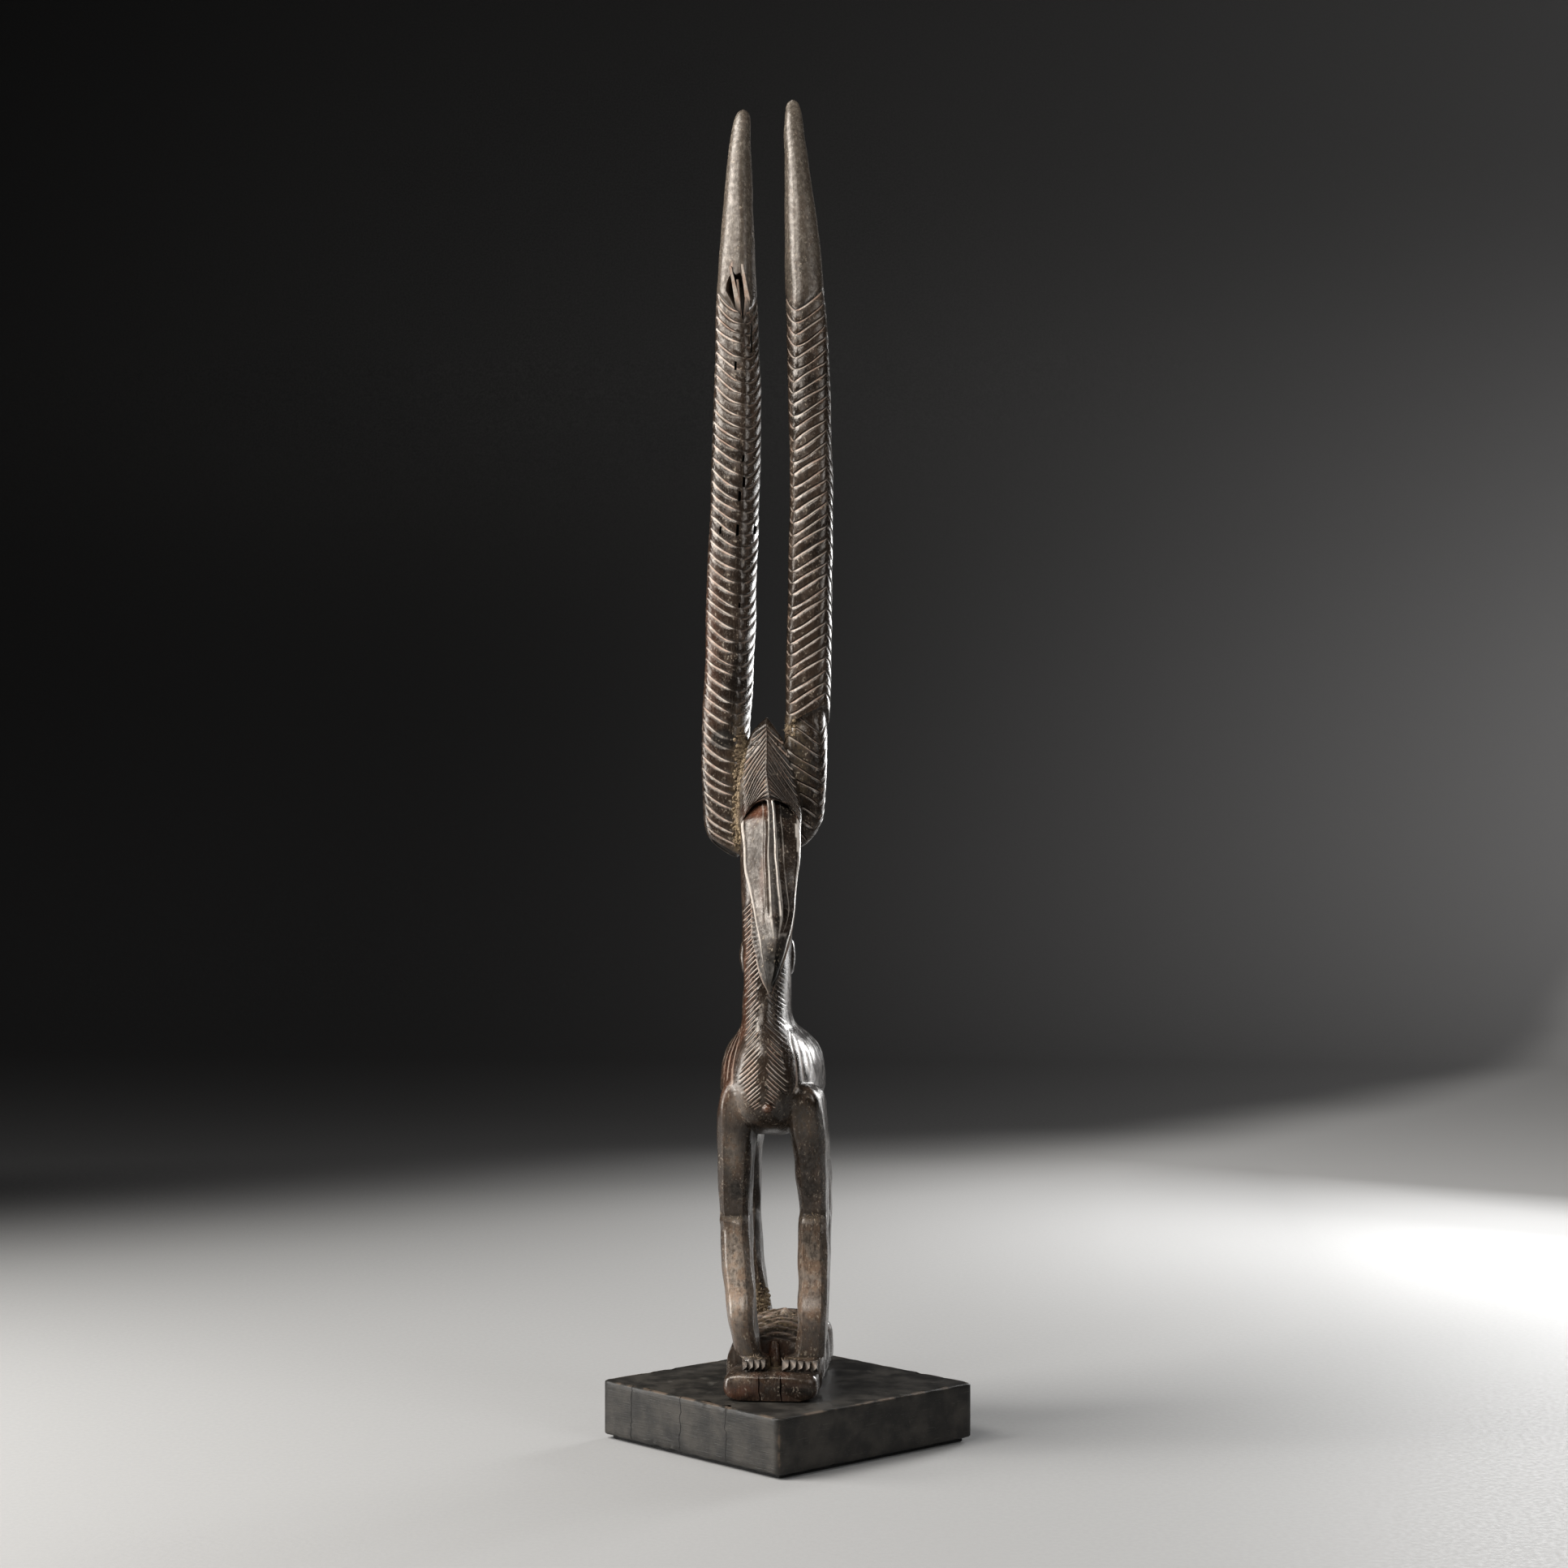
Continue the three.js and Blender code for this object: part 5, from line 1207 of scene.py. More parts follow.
def base():
    """Ribbed log under the feet: a low square block in front, then a dome with lobes."""
    dome = curve(BASE_DOME)
    low, high = BASE_LENGTH
    ys = [low, low + 0.5, low + 1.2, low + 2, low + 3.2, low + 5, low + 7]
    ys += list(np.arange(low + 9, BASE_STEP_Y - 7, 2.5))
    ys += [BASE_STEP_Y - d for d in (6, 4, 2.5, 1.6, 1, 0.5, 0.1)] + [BASE_STEP_Y + 0.4, BASE_STEP_Y + 1.0]
    ys += list(np.arange(BASE_STEP_Y + 1.7, high - 8, 0.8))
    ys += list(high - np.array([8, 7, 6, 5, 4, 3, 2.2, 1.5, 0.9, 0.4, 0]))
    y = np.array(ys)
    rear = smooth(y, BASE_STEP_Y - 0.4, BASE_STEP_Y + 1.2)
    near_end, *shares = np.array(BASE_NEAR).T
    near_width, near_height, raised = [np.interp(y, low + near_end, column) for column in shares]
    far_end, far_width = np.array(BASE_FAR).T
    ends = np.minimum(near_width, np.interp(y, high + far_end, far_width))
    half = (BASE_FRONT_HALF * (1 - rear) + BASE_REAR_HALF * rear) * ends
    half = half * (1 - 0.05 * smooth(y, BASE_STEP_Y - 6, BASE_STEP_Y - 1) * (1 - rear))
    height = BASE_FRONT_HEIGHT * near_height * (1 - rear) + dome(y)[0] * rear
    height = height * np.interp(y, [high - 1, high], [1, 0.9])
    share = np.linspace(0, 1, 22)
    knots = np.linspace(0, 1, 7)
    block, loaf = [curve([(k, *row) for k, row in zip(knots, shape)])(share) for shape in (BLOCK, LOAF)]
    us, vs = [b * (1 - rear[:, None]) + a * rear[:, None] for b, a in zip(block, loaf)]
    us = np.concatenate([us, -us[:, -2::-1]], 1)
    vs = np.concatenate([vs, vs[:, -2::-1]], 1)
    near = (y - BASE_STEP_Y) / RIB_PITCH
    sway = 0.12 * (vs - 0.5) * np.sign(us)
    across = near[:, None] + sway
    gap = np.abs(across - np.round(across)) * RIB_PITCH
    ribbed = rear[:, None] * (np.round(across) > 0.5) * (y[:, None] < high - 6) * smooth(vs, 0.0, 0.12)
    groove = np.exp(-((gap / 1.2) ** 2)) * GROOVE_DEPTH
    inset = ribbed * (groove + 2.4 * smooth(gap, 10, 0))
    side = smooth(np.abs(us), 0.3, 0.75)
    inset = inset * (0.35 + 0.65 * side)
    x = BASE_AXIS_X + us * (half[:, None] - inset)
    z = np.maximum(vs * (height[:, None] - inset), 0) + raised[:, None] * (1 - vs)
    rows = (y[:, None] + 0.035 * (x - BASE_AXIS_X - 3) ** 2 - 0.3 * z) / 10
    ridges = 0.75 * np.sin(2 * math.pi * rows) + 0.35 * np.sin(2 * math.pi * rows * 2.3 + 1)
    torn = waves(np.stack([x, y[:, None] + 0 * x, 0 * x], -1), 3.4, BASE_SEED)
    ridges += np.maximum(torn, 0) * 2.2 * smooth(y, 6, 12)[:, None] * (1 - smooth(y, 18, 26))[:, None]
    on_top = smooth(vs, 0.8, 0.95) * rear[:, None] * (1 - smooth(y, 30, 45))[:, None]
    z = z + ridges * on_top
    rings = np.stack([x, np.broadcast_to(y[:, None], x.shape), z], -1)
    # painted shade in the rib grooves and between the ridges on top; pale streaks on the ridges
    seams = np.clip(ribbed * groove / GROOVE_DEPTH, 0, 1) * 0.9
    streaks = on_top * smooth(ridges, 0.35, 0.8) * 0.5
    between = on_top * smooth(ridges, -0.1, -0.5) * 0.7
    return loft("base", rings, cut=streaks, crevice=np.maximum(seams, between))


def step_ridge():
    """Upright ridge in the middle of the step between block and dome."""
    rings = []
    for z, wide, out in RIDGE_LEVELS:
        arc = [(BASE_AXIS_X + wide * math.cos(a), BASE_STEP_Y + 1 - out * math.sin(a) ** 0.8, z)
               for a in np.linspace(0, math.pi, 9)]
        rings.append(arc + [(BASE_AXIS_X + side * wide, BASE_STEP_Y + 3, z) for side in (-1, 1)])
    return loft("step_ridge", rings)


def base_slits():
    """Cutters for the upright slits in the front of the base."""
    made = []
    front = BASE_LENGTH[0]
    for number, (x, width) in enumerate(SLITS):
        rings = []
        for z in (-1, 2, 6, 10, 14, BASE_FRONT_HEIGHT - 0.4):
            wander = 0.3 * math.sin(z * 0.7 + number)
            half = width / 2 * (1.1 - 0.25 * math.sin(z * 0.45 + number))
            rings.append([(x + wander - half * 1.6, front - 2, z), (x + wander + half * 1.6, front - 2, z),
                          (x + wander, front + 1.7, z)])
        # painted shade inside the slits
        made.append(loft(f"slit_{number}", rings, crevice=0.35))
    return made


# Young one and tail

def lump(name, rows, steps=24):
    """A rounded body of level sections: height, middle x, half width, front y, back y."""
    low, high = rows[0][0], rows[-1][0]
    ends = np.array([0, 0.03, 0.08])
    t = np.concatenate([ends, np.linspace(0.14, 0.86, 14), 1 - ends[::-1]])
    levels = low + (high - low) * t
    middle, half, front, back = columns(rows, levels)
    closing = np.sqrt(np.clip(1 - np.clip((0.1 - np.minimum(t, 1 - t)) / 0.1, 0, 1) ** 2, 0.12, 1))[:, None]
    turn = full_turn(steps)
    x = middle + np.cos(turn) * half * closing
    y = (front + back) / 2 + np.sin(turn) * (back - front) / 2 * closing
    return loft(name, level_rings(x, y, levels))


def young_one():
    """The young one on the back, with legs, ears and horns on both sides."""
    made = [lump(name, [(z, YOUNG_X, *row) for z, *row in table], 32)
            for name, table in (("young_body", YOUNG_BODY), ("young_neck", YOUNG_NECK))]
    for side, tag in ((-1, "left"), (1, "right")):
        foot, root = YOUNG_X + side * 5.4, YOUNG_X + side * 8
        for number, y in enumerate((23, 48)):
            rows = [(205, foot, 3.4, y, y + 8), (218, foot, 3, y + 1, y + 8), (233, foot, 3.6, y, y + 9)]
            made.append(lump(f"young_leg_{tag}_{number}", rows, 16))
        rows = [(z, YOUNG_X + side * out, half, 22 - half / 2, 29 + half / 2) for z, out, half in YOUNG_EAR]
        made.append(lump(f"young_ear_{tag}", rows, 18))
        made.append(lump(f"ear_root_{tag}", [(256, root, 4.5, 21, 30), (268, root, 4.5, 21, 30)], 16))
        rows = [(z, YOUNG_X + side * out, half, y - half, y + half) for z, out, half, y in YOUNG_HORN]
        made.append(lump(f"young_horn_{tag}", rows, 18))
    return made


def tail():
    levels = np.linspace(150, 206, 30)
    y, half = columns(TAIL, levels)
    turn = full_turn(20)
    x = TAIL_X + signed_power(np.cos(turn), 0.9) * half
    depth = np.where(np.sin(turn) < 0, half + 4, half)
    return loft("tail", level_rings(x, y + signed_power(np.sin(turn), 0.9) * depth, levels))


# The whole figure

def joined(pieces, cuts, extras):
    """One closed carving: the pieces joined, the cutters taken away, the extras joined last."""
    meshes = [piece.data for piece in pieces + cuts + extras]
    masks = {name: np.concatenate([get_mask(mesh, name) for mesh in meshes]) for name in MASKS}
    points = np.concatenate([positions(mesh) for mesh in meshes])
    tree = kdtree.KDTree(len(points))
    for index, point in enumerate(points):
        tree.insert(point, index)
    tree.balance()
    body = pieces[0]
    steps = [(piece, "UNION") for piece in pieces[1:]]
    steps += [(piece, "DIFFERENCE") for piece in cuts] + [(piece, "UNION") for piece in extras]
    for other, operation in steps:
        modifier = body.modifiers.new(other.name, "BOOLEAN")
        modifier.operation = operation
        modifier.solver = "MANIFOLD"
        modifier.object = other
    plain_mesh(body)
    for other, _ in steps:
        bpy.data.objects.remove(other)
    co = positions(body.data)
    nearest = np.array([tree.find(point)[1] for point in co])
    for name in MASKS:
        set_mask(body.data, name, masks[name][nearest])
    return body


def edge_ends(mesh):
    ends = np.zeros(len(mesh.edges) * 2, np.int64)
    mesh.edges.foreach_get("vertices", ends)
    return ends.reshape(-1, 2).T


def neighbour_mean(mesh):
    """Gives the mean of some values over the neighbours of each point, and how many they are."""
    a, b = edge_ends(mesh)
    size = len(mesh.vertices)
    count = np.maximum(np.bincount(a, minlength=size) + np.bincount(b, minlength=size), 1)

    def mean(values):
        return (np.bincount(a, values[b], size) + np.bincount(b, values[a], size)) / count

    return mean, count


def softened(mesh, co, weight, rounds):
    """Points drawn towards the mean of their neighbours, as much as the weight of each says."""
    mean, _ = neighbour_mean(mesh)
    for _ in range(rounds):
        near = np.stack([mean(co[:, k]) for k in range(3)], -1)
        co = co + (near - co) * 0.5 * weight[:, None]
    return co


def curvature(mesh):
    """How far each point stands out from its neighbours, or lies below them, softened twice."""
    co = positions(mesh)
    a, b = edge_ends(mesh)
    mean, count = neighbour_mean(mesh)
    normals = np.zeros(len(co) * 3, np.float32)
    mesh.vertex_normals.foreach_get("vector", normals)
    normals = normals.reshape(-1, 3)
    step = co[b] - co[a]
    length = np.maximum(np.linalg.norm(step, axis=1), 0.25)
    rise_a = np.einsum("ij,ij->i", step, normals[a]) / length
    rise_b = -np.einsum("ij,ij->i", step, normals[b]) / length
    bend = (np.bincount(a, rise_a, len(co)) + np.bincount(b, rise_b, len(co))) / count
    for _ in range(2):
        bend = bend * 0.5 + mean(bend) * 0.5
    return bend


def places(co, table):
    """How much each point belongs to the places of a table (centre, reach, amount)."""
    return sum(amount * spot(co, centre, reach) for centre, reach, amount in table)


def paint(mesh):
    """Masks for wear, painted shade in hollows, dirt with painted light on the dome and step, grey tips,
    pale places with painted highlights, reddish places, and blackened places with painted shadow, from
    shape and place.
    """
    co = positions(mesh)
    bend = curvature(mesh)
    z = co[:, 2]
    masks = {
        "edge": smooth(-bend, 0.05, 0.3),
        # hollow: painted shade in concave places
        "hollow": smooth(bend, 0.04, 0.26),
        "tip": smooth(z, 640, 710) * 0.8 + smooth(z, 740, 790) * 0.2,
        "pale": places(co, PALE_AND_HIGHLIGHT_PLACES),
        "red": places(co, RED_PLACES),
        "dust": places(co, DIRT_AND_LIGHT_PLACES),
        "crust": places(co, DIRT_AND_LIGHT_PLACES[:4]) * 1.3 - 0.45,
        "fibrous": places(co, FIBROUS_PLACES) * 1.3 - 0.3,
        "char": places(co, BLACK_AND_SHADOW_PLACES),
        "dull": places(co, DULL_PLACES),
    }
    for name, values in masks.items():
        set_mask(mesh, name, np.clip(values, 0, 1))


def uneven_points(mesh, co):
    """Points moved by slow swells and by small facets, which leave the strokes alone."""
    held = smooth(co[:, 2], 0, 3)[:, None]
    swells, facets = [np.stack([waves(co, size, seed + axis) for axis in range(3)], -1)
                      for size, seed in ((SWELL_SIZE, SWELL_SEED), (FACET_SIZE, FACET_SEED))]
    calm = 1 - np.clip(get_mask(mesh, "strength"), 0, 1)[:, None]
    adzed = FACETS + LOW_FACETS * smooth(co[:, 2], 192, 170)[:, None]
    return co + (SWELL * swells + adzed * facets * calm) * held


def stroked_pieces(sizes, material):
    """Neck, head and the three lengths of horn, with their strokes cut."""
    tree = stroke_tree()
    horn_depth, neck_depth = sizes.horn_stroke_depth * 1000, sizes.neck_stroke_depth * 1000
    left, right, root = horns()
    body, skull = trunk(), head()
    uneven = sizes.unevenness
    table = (  # depth, share of steep wall, share of sloping lip, unevenness
        (left, horn_depth, 0.1, 0.42, uneven), (right, horn_depth * 0.85, 0.1, 0.33, uneven),
        (root, horn_depth * 0.8, 0.1, 0.24, uneven), (body, neck_depth, 0.3, 0.56, uneven),
        (skull, 1.0, 0.32, 0.66, 0.3),
    )
    for seed, (piece, depth, wall, lip, unevenness) in enumerate(table, STROKE_SEED):
        use_tree(piece, tree, material, depth=depth, wall=wall, lip=lip, unevenness=unevenness, seed=seed)
        mesh = piece.data
        pale = get_mask(mesh, "cut") * get_mask(mesh, "paleness")
        set_mask(mesh, "cut", np.maximum(pale, get_mask(mesh, "border")))
        # the head's painted shade joins the strokes' painted shade
        set_mask(mesh, "crevice", np.maximum(get_mask(mesh, "crevice"), get_mask(mesh, "shade")))
    return body, skull, left, right, root


def carve_figure(sizes, material):
    """The whole antelope in one mesh, carved in millimetres and then set in metres on the plinth."""
    body, skull, *three_horns = stroked_pieces(sizes, material)
    cuts, splinters = horn_damage()
    pieces = [body, skull, jaw(), *three_horns, *legs(), *toes(row_tree(), material),
              base(), step_ridge(), tail(), knob(), *young_one()]
    figure = joined(pieces, cuts + base_slits(), splinters)
    mesh = figure.data
    co = positions(mesh)
    weight = np.clip(sum(spot(co, centre, reach) for centre, reach in SOFT_SEAMS), 0, 1)
    weight *= 1 - np.clip(get_mask(mesh, "strength") * 3, 0, 1)
    co = uneven_points(mesh, softened(mesh, co, weight, SEAM_ROUNDS))
    move_points(mesh, co)
    paint(mesh)
    co[:, 2] = np.maximum(co[:, 2], 0)
    scale = (FIGURE_HIGH[2] - FIGURE_LOW[2]) / FIGURE_HEIGHT
    move_points(mesh, co * scale + np.array([0, 0, FIGURE_LOW[2]]))
    finish_surface(mesh, material, FIGURE_SHARP)
    figure.name = "carved_antelope"
    return figure


def plinth_block(sizes, material):
    """The plinth with its edges worn unevenly and dented here and there."""
    turn, h, edge = math.radians(PLINTH_TURN), sizes.side / 2, sizes.edge
    height = PLINTH_HIGH[2] - PLINTH_LOW[2]
    run = np.linspace(-1, 1, 60)
    ring = []
    for k in range(4):
        a = math.radians(90 * k)
        for s in run[:-1]:
            ring.append((h * math.cos(a) - s * h * math.sin(a), h * math.sin(a) + s * h * math.cos(a), s))
    ring = np.array(ring)
    rows = [(0, edge), (edge * 0.3, edge * 0.45), (edge * 0.6, edge * 0.15), (edge, 0)]
    levels = rows + [(edge + (height - 2 * edge) * t, 0) for t in np.linspace(0, 1, 12)[1:-1]]
    levels += [(height - z, inset) for z, inset in rows[::-1]]
    levels += [(height, edge + step) for step in (0.0008, 0.0016, 0.003, 0.02, 0.05)]
    corner = 1 - np.abs(ring[:, 2])
    rounded = edge * 0.9 * np.clip(1 - corner * h / (edge * 1.4), 0, 1)
    rings, worn = [], []
    for z, inset in levels:
        grid = np.stack([ring[:, 0] * 1000, ring[:, 1] * 1000, np.full(len(ring), z * 900)], -1)
        bite = waves(grid, 5, PLINTH_SEED)
        own = inset + rounded
        if 0 < inset < edge * 1.8:
            own = own + edge * (0.3 * bite + np.maximum(bite - 0.7, 0) * 1.6) * inset / edge
        scale = 1 - own / h
        rings.append(np.stack([ring[:, 0] * scale, ring[:, 1] * scale, np.full(len(ring), z)], -1))
        at_edge = 1 if 0.1 * edge < inset < edge * 1.7 else 0.4
        worn.append((at_edge if inset < edge * 2 and z > edge * 2 else 0) + rounded / edge * 0.7)
    piece = loft("plinth_block", rings, edge=np.array(worn))
    x, y, z = positions(piece.data).T
    turned = np.stack([x * math.cos(turn) - y * math.sin(turn), x * math.sin(turn) + y * math.cos(turn),
                       z + PLINTH_LOW[2]], -1)
    move_points(piece.data, turned)
    finish_surface(piece.data, material, PLINTH_SHARP)
    return piece


# Stage

def soft_light(name, power, spot_at, aim, size, colour):
    data = bpy.data.lights.new(name, "AREA")
    data.shape = "RECTANGLE"
    data.size, data.size_y = size
    data.energy = power
    data.color = colour
    lamp = added(name, data)
    lamp.location = spot_at
    lamp.visible_camera = False
    lamp.rotation_euler = (Vector(aim) - Vector(spot_at)).to_track_quat("-Z", "Y").to_euler()


def sweep_finish(floor_colour, wall_colour):
    """Pale floor with a painted pool of light, darkened softly by painted shade behind the object, and a
    wall made lighter towards the right by painted light.
    """
    f = Finish("studio_sweep")
    x, y, z = f.parts()
    # painted shade that darkens the floor into the wall behind the object
    skew = y - x.run("MAXIMUM", 0.0).run("POWER", 2.0) * 1.1 + (f.noise((1.6,) * 3, 2, 0.5) - 0.5) * 0.25
    shade = skew.ranged(x * 0.76 + 1.08, x * 0.42 + 1.74)
    # painted light on the wall, brighter towards the right and near the floor
    light = (x + y * 0.09).ranged(-0.9, 1.7, kind="LINEAR").run("POWER", 2.6)
    share = light * z.ranged(1.6, 0.1, 0.22, 1.0) + z.ranged(0.9, 0.0, 0, 0.03)
    wall = f.mixed(wall_colour, (share, [min(c * LIT_WALL, 1) for c in wall_colour]))
    # painted pool of light on the floor, brightest behind and to the right
    near, far = x.run("MINIMUM", 0.22) * 1.3, (x - 0.38).run("MAXIMUM", 0.0) * 2.2
    painted_light_pool = y.run("MAXIMUM", 0.0).run("POWER", 2.0) * (near + far + 0.36)
    inputs = {0: tuple(floor_colour), "Scale": (painted_light_pool + 0.8).run("MINIMUM", 2.1)}
    floor = node(f.tree, "ShaderNodeVectorMath", inputs, operation="SCALE").outputs[0]
    fine = f.noise((300,) * 3, 2, 0.5)
    return f.finish(f.mixed(floor, (shade, wall)), fine.ranged(0.3, 0.7, 0.6, 0.7), fine, 0.0001)


def sweep(material):
    """Floor and backdrop in one curved sheet."""
    profile = [(y, 0.0) for y in (-6.0, -3.0, -1.0, 0.0, 1.0, 2.0, 2.6)]
    profile += [(2.6 + 1.2 * math.sin(a), 1.2 - 1.2 * math.cos(a))
                for a in np.linspace(0.1, math.pi / 2, 12)]
    profile += [(3.8, 2.4), (3.8, 4.0)]
    xs = np.linspace(-5, 5, 9)
    points = [(x, y, z) for y, z in profile for x in xs]
    faces = []
    for r in range(len(profile) - 1):
        for c in range(len(xs) - 1):
            a = r * len(xs) + c
            faces.append((a, a + 1, a + 1 + len(xs), a + len(xs)))
    mesh = bpy.data.meshes.new("studio_sweep")
    mesh.from_pydata(points, [], faces)
    mesh.polygons.foreach_set("use_smooth", np.ones(len(faces), bool))
    mesh.materials.append(material)
    return added("studio_sweep", mesh)


# Settings

def colour_property(name, description, default):
    return FloatVectorProperty(name=name, description=description, default=default, size=3, min=0, max=1,
                               subtype="COLOR")


def length_property(name, description, default, least=0.0):
    return FloatProperty(name=name, description=description, default=default, min=least, unit="LENGTH")


def power_property(name, description, default):
    return FloatProperty(name=name, description=f"Power of the {description}", default=default, min=0,
                         unit="POWER")


class FigureSettings(bpy.types.PropertyGroup):
    horn_stroke_depth: length_property(
        "Horn stroke depth", "Depth of the strokes cut into the horns", 0.0014)
    neck_stroke_depth: length_property(
        "Neck stroke depth", "Depth of the strokes cut into the neck and chest", 0.0007)
    unevenness: FloatProperty(
        name="Unevenness", description="How much the strokes differ from each other in depth",
        default=0.35, min=0, max=1, subtype="FACTOR")
    dark: colour_property("Dark wood", "Darkest patches of the polish", (0.009, 0.0065, 0.005))
    middle: colour_property("Brown wood", "Common colour of the wood", (0.026, 0.0175, 0.0125))
    warm: colour_property("Warm wood", "Brown clouds in the wood", (0.055, 0.034, 0.023))
    # Red wood is also painted light, on the left eye hollow and the nose bar's left flank.
    red: colour_property("Red wood", "Places worn to reddish wood", (0.115, 0.038, 0.018))
    worn: colour_property("Worn edge", "Wood rubbed bare along edges", (0.16, 0.1, 0.065))
    tip: colour_property("Dry tip", "Grey dusty wood of the horn tips", (0.135, 0.115, 0.093))
    cut: colour_property("Pale cut", "Bare wood in the strokes", (0.46, 0.39, 0.33))
    cut_red: colour_property("Red cut", "Reddish bare wood in the strokes", (0.38, 0.26, 0.2))
    # Colour of the painted highlights on the nose bar's rims, the face's edges, the mouth and the toes.
    rubbed: colour_property("Rubbed edge", "Edges polished pale by rubbing", (0.62, 0.56, 0.5))
    fleck: colour_property("Fleck", "Small light flecks all over", (0.26, 0.22, 0.17))
    # The dust colour also paints light on the dome, the step and the ledge above the toes.
    dust: colour_property("Dust", "Dry dirt left in the hollows", (0.19, 0.135, 0.075))


class DirtSettings(bpy.types.PropertyGroup):
    crumbs: FloatProperty(name="Crumbs", description="Crumbs of dirt in a square metre of crust",
                          default=1600000, min=0)
    fibres: FloatProperty(name="Fibres", description="Loose fibres in a square metre of rough wood",
                          default=1500000, min=0)
    size: length_property("Size", "Radius of the largest crumbs", 0.0016, 0.0001)
    seed: IntProperty(name="Seed", description="Changes where the crumbs and fibres fall", default=5)


class PlinthSettings(bpy.types.PropertyGroup):
    side: length_property("Side", "Width of the square plinth", 0.1616, 0.01)
    edge: length_property("Edge wear", "Width of the worn edges", 0.0012)
    dark: colour_property("Stain", "Near-black stain", (0.014, 0.0132, 0.012))
    middle: colour_property("Thin stain", "Places where the stain is thinner", (0.04, 0.036, 0.031))
    scuff: colour_property("Scuff", "Light scratches", (0.085, 0.08, 0.07))
    worn: colour_property("Worn edge", "Brown wood along rubbed edges", (0.12, 0.085, 0.06))


class StageSettings(bpy.types.PropertyGroup):
    floor: colour_property("Floor", "Pale floor", (0.4, 0.4, 0.4))
    wall: colour_property("Backdrop", "Dark backdrop", (0.0085, 0.0085, 0.0087))
    key_power: power_property("Key light", "soft light high on the left", 42)
    side_power: power_property("Side light", "upright strip at the left", 19.5)
    rim_power: power_property("Rim light", "narrow strip at the right rear", 2.3)
    low_power: power_property("Low light", "small light low on the right", 0.8)
    shoulder_power: power_property("Shoulder light", "small light high on the right", 6)
    fill_power: power_property("Fill light", "weak light from the right", 7)
    front_power: power_property("Front light", "weak light from the front", 15)
    distance: length_property("Camera distance", "From the camera to the plinth's middle", 1.907, 0.2)
    azimuth: FloatProperty(name="Camera azimuth", description="Degrees round to the right of the face",
                           default=5.2)
    eye: FloatProperty(name="Camera height", description="Height of the camera above the floor",
                       default=0.404, unit="LENGTH")


# Operators

class HEADDRESS_OT_figure(bpy.types.Operator):
    """Carve the antelope with its horns, young one and ribbed base as one piece"""

    bl_idname = "headdress.figure"
    bl_label = "Carve the antelope"

    def execute(self, context):
        settings = context.scene.headdress_figure
        figure = carve_figure(settings, carved_wood(settings))
        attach(figure, "root")
        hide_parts("antelope_headdress")
        return {"FINISHED"}


class HEADDRESS_OT_dirt(bpy.types.Operator):
    """Scatter dried dirt and loose wood fibres over the antelope"""

    bl_idname = "headdress.dirt"
    bl_label = "Scatter dirt and fibres"

    def execute(self, context):
        settings = context.scene.headdress_dirt
        figure = bpy.data.objects.get("carved_antelope")
        if figure is None:
            raise RuntimeError("carve the antelope before its dirt is scattered")
        tree = scatter_tree()
        size = settings.size
        kinds = (
            ("dried_dirt", "crust", settings.crumbs, (size * 0.35,) * 3, (size,) * 3, False, dry_dirt()),
            ("wood_fibres", "fibrous", settings.fibres, (size * 0.07, size * 0.07, size * 0.4),
             (size * 0.12, size * 0.12, size), True, loose_fibre()),
        )
        for name, mask, density, smallest, largest, thin, material in kinds:
            bits = added(name, figure.data.copy())
            use_tree(bits, tree, material, mask=mask, density=density, smallest=smallest, largest=largest,
                     fibres=thin, seed=settings.seed)
            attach(bits, "root")
        return {"FINISHED"}


class HEADDRESS_OT_plinth(bpy.types.Operator):
    """Make the worn plinth and finish the pad under it"""

    bl_idname = "headdress.plinth"
    bl_label = "Make the plinth"

    def execute(self, context):
        settings = context.scene.headdress_plinth
        block = plinth_block(settings, stained_wood(settings))
        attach(block, "root")
        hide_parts("plinth")
        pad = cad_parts["underside_pad"]
        cloth = felt()
        if not pad.material_slots:
            pad.data.materials.append(cloth)
        for slot in pad.material_slots:
            slot.material = cloth
        return {"FINISHED"}


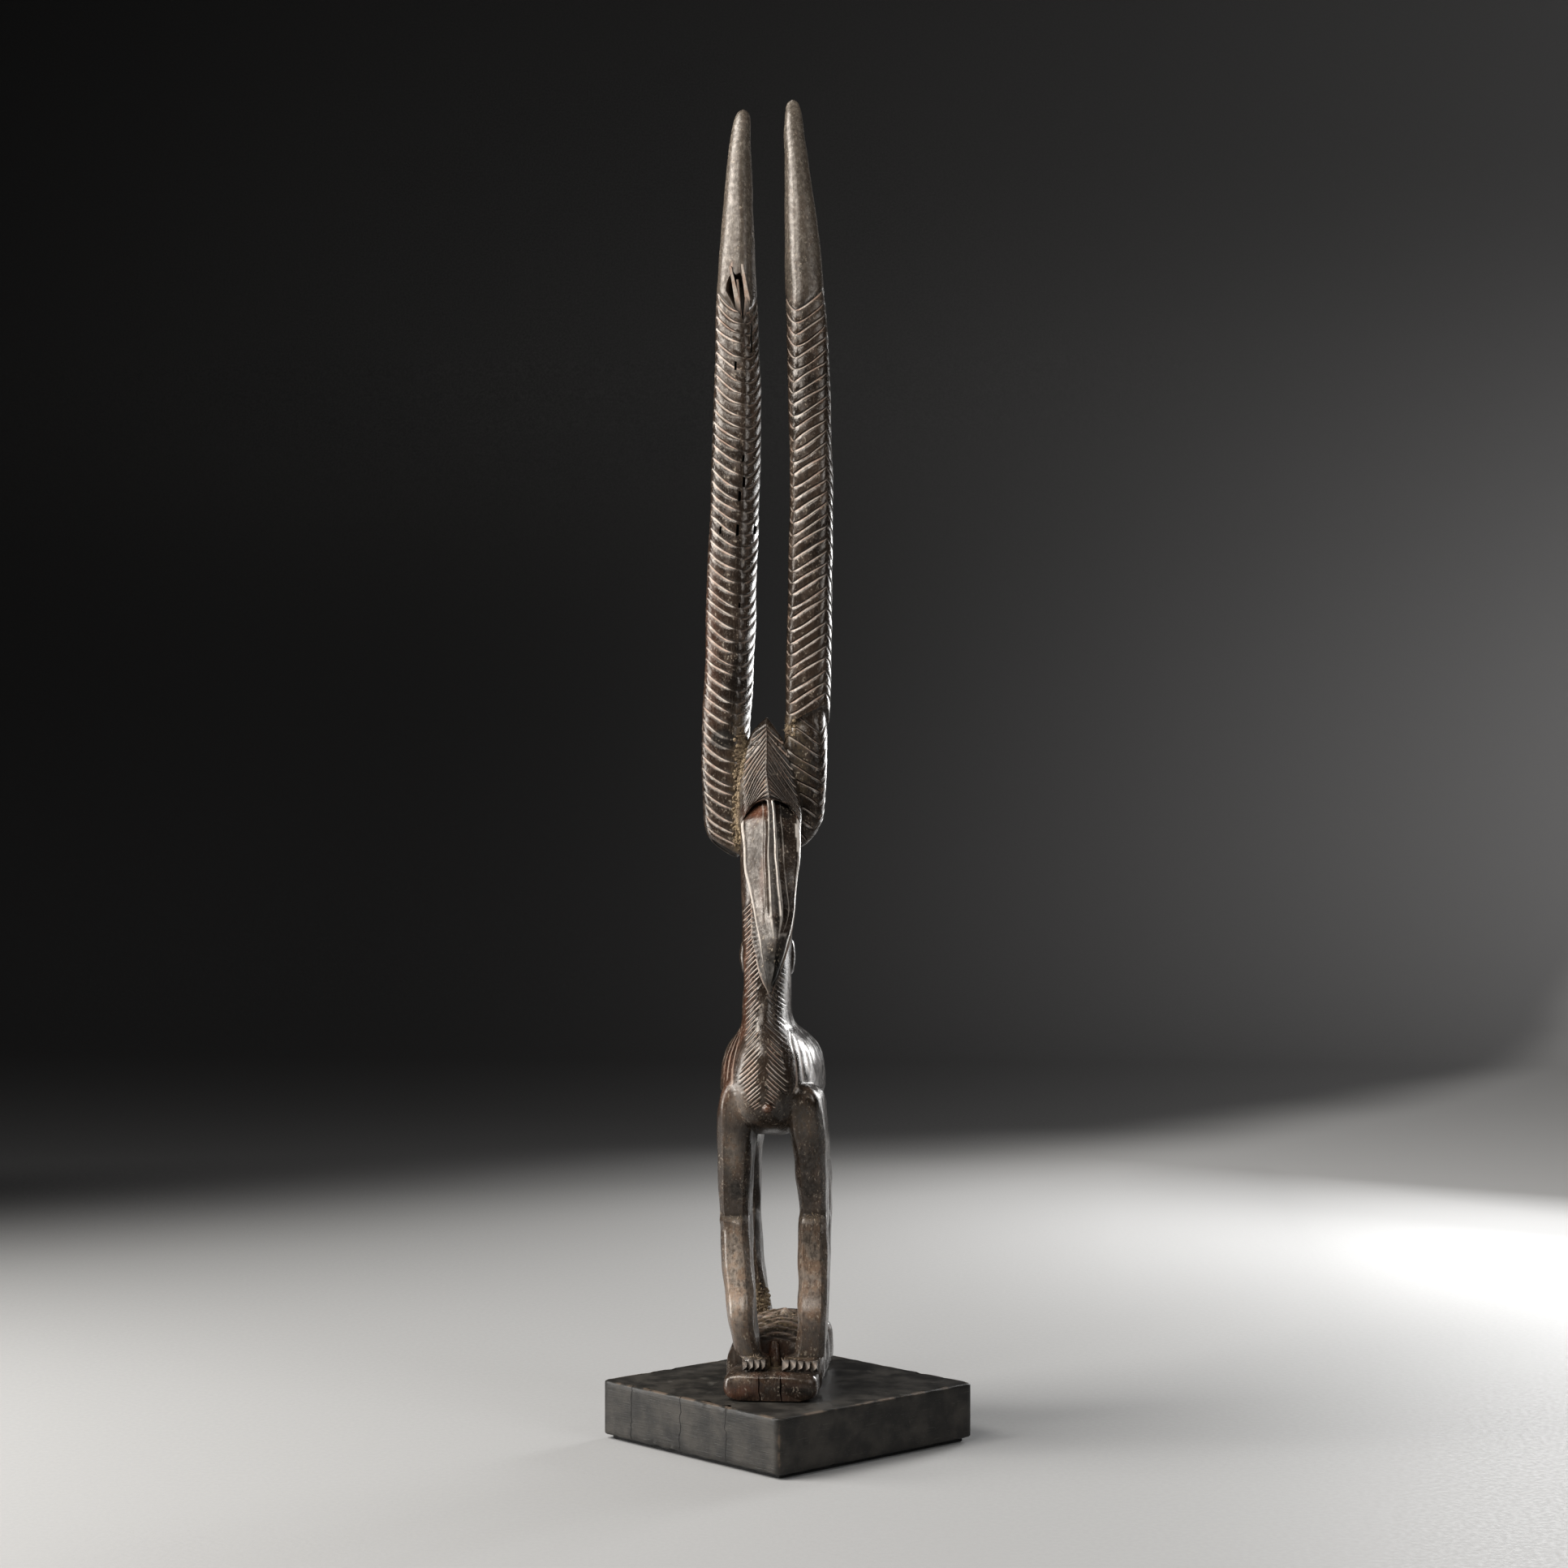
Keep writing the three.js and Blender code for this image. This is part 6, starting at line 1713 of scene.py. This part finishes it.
class HEADDRESS_OT_stage(bpy.types.Operator):
    """Set up the pale floor, dark backdrop, soft lights and camera"""

    bl_idname = "headdress.stage"
    bl_label = "Set up the stage"

    def execute(self, context):
        scene = context.scene
        settings = scene.headdress_stage
        sweep(sweep_finish(settings.floor, settings.wall))
        for name, *light in LIGHTS:
            soft_light(f"{name}_light", getattr(settings, f"{name}_power"), *light)
        world = bpy.data.worlds.new("dark_room")
        world.use_nodes = True
        world.node_tree.nodes["Background"].inputs[0].default_value = ROOM_COLOUR
        scene.world = world
        data = bpy.data.cameras.new("photo_camera")
        data.sensor_width, data.lens = SENSOR_WIDTH, LENS
        data.clip_start = 0.01
        camera = added("photo_camera", data)
        turn = math.radians(settings.azimuth)
        away = Vector((math.sin(turn), -math.cos(turn), 0)) * settings.distance
        right = Vector((math.cos(turn), math.sin(turn), 0))
        camera.location = Vector((0, 0, settings.eye)) + away - right * CAMERA_SHIFT
        camera.rotation_euler = (math.pi / 2, 0, turn)
        scene.camera = camera
        scene.view_settings.view_transform = "Standard"
        return {"FINISHED"}


class HEADDRESS_PT_panel(bpy.types.Panel):
    """Settings and steps for the headdress"""

    bl_label = "Headdress"
    bl_space_type = "VIEW_3D"
    bl_region_type = "UI"
    bl_category = "Headdress"

    def draw(self, context):
        layout = self.layout
        for operator, group in STEPS:
            box = layout.box()
            box.operator(operator.bl_idname)
            settings = getattr(context.scene, group)
            for name in settings.bl_rna.properties.keys():
                if name not in ("name", "rna_type"):
                    box.prop(settings, name)


STEPS = (
    (HEADDRESS_OT_figure, "headdress_figure"),
    (HEADDRESS_OT_dirt, "headdress_dirt"),
    (HEADDRESS_OT_plinth, "headdress_plinth"),
    (HEADDRESS_OT_stage, "headdress_stage"),
)
GROUPS = {
    "headdress_figure": FigureSettings,
    "headdress_dirt": DirtSettings,
    "headdress_plinth": PlinthSettings,
    "headdress_stage": StageSettings,
}
CLASSES = (*GROUPS.values(), *(operator for operator, _ in STEPS), HEADDRESS_PT_panel)


def register():
    for cls in CLASSES:
        bpy.utils.register_class(cls)
    for name, group in GROUPS.items():
        setattr(bpy.types.Scene, name, PointerProperty(type=group))


def unregister():
    for name in GROUPS:
        delattr(bpy.types.Scene, name)
    for cls in reversed(CLASSES):
        bpy.utils.unregister_class(cls)


def main():
    register()
    bpy.ops.headdress.figure()
    bpy.ops.headdress.dirt()
    bpy.ops.headdress.plinth()
    bpy.ops.headdress.stage()


if __name__ == "__main__":
    main()
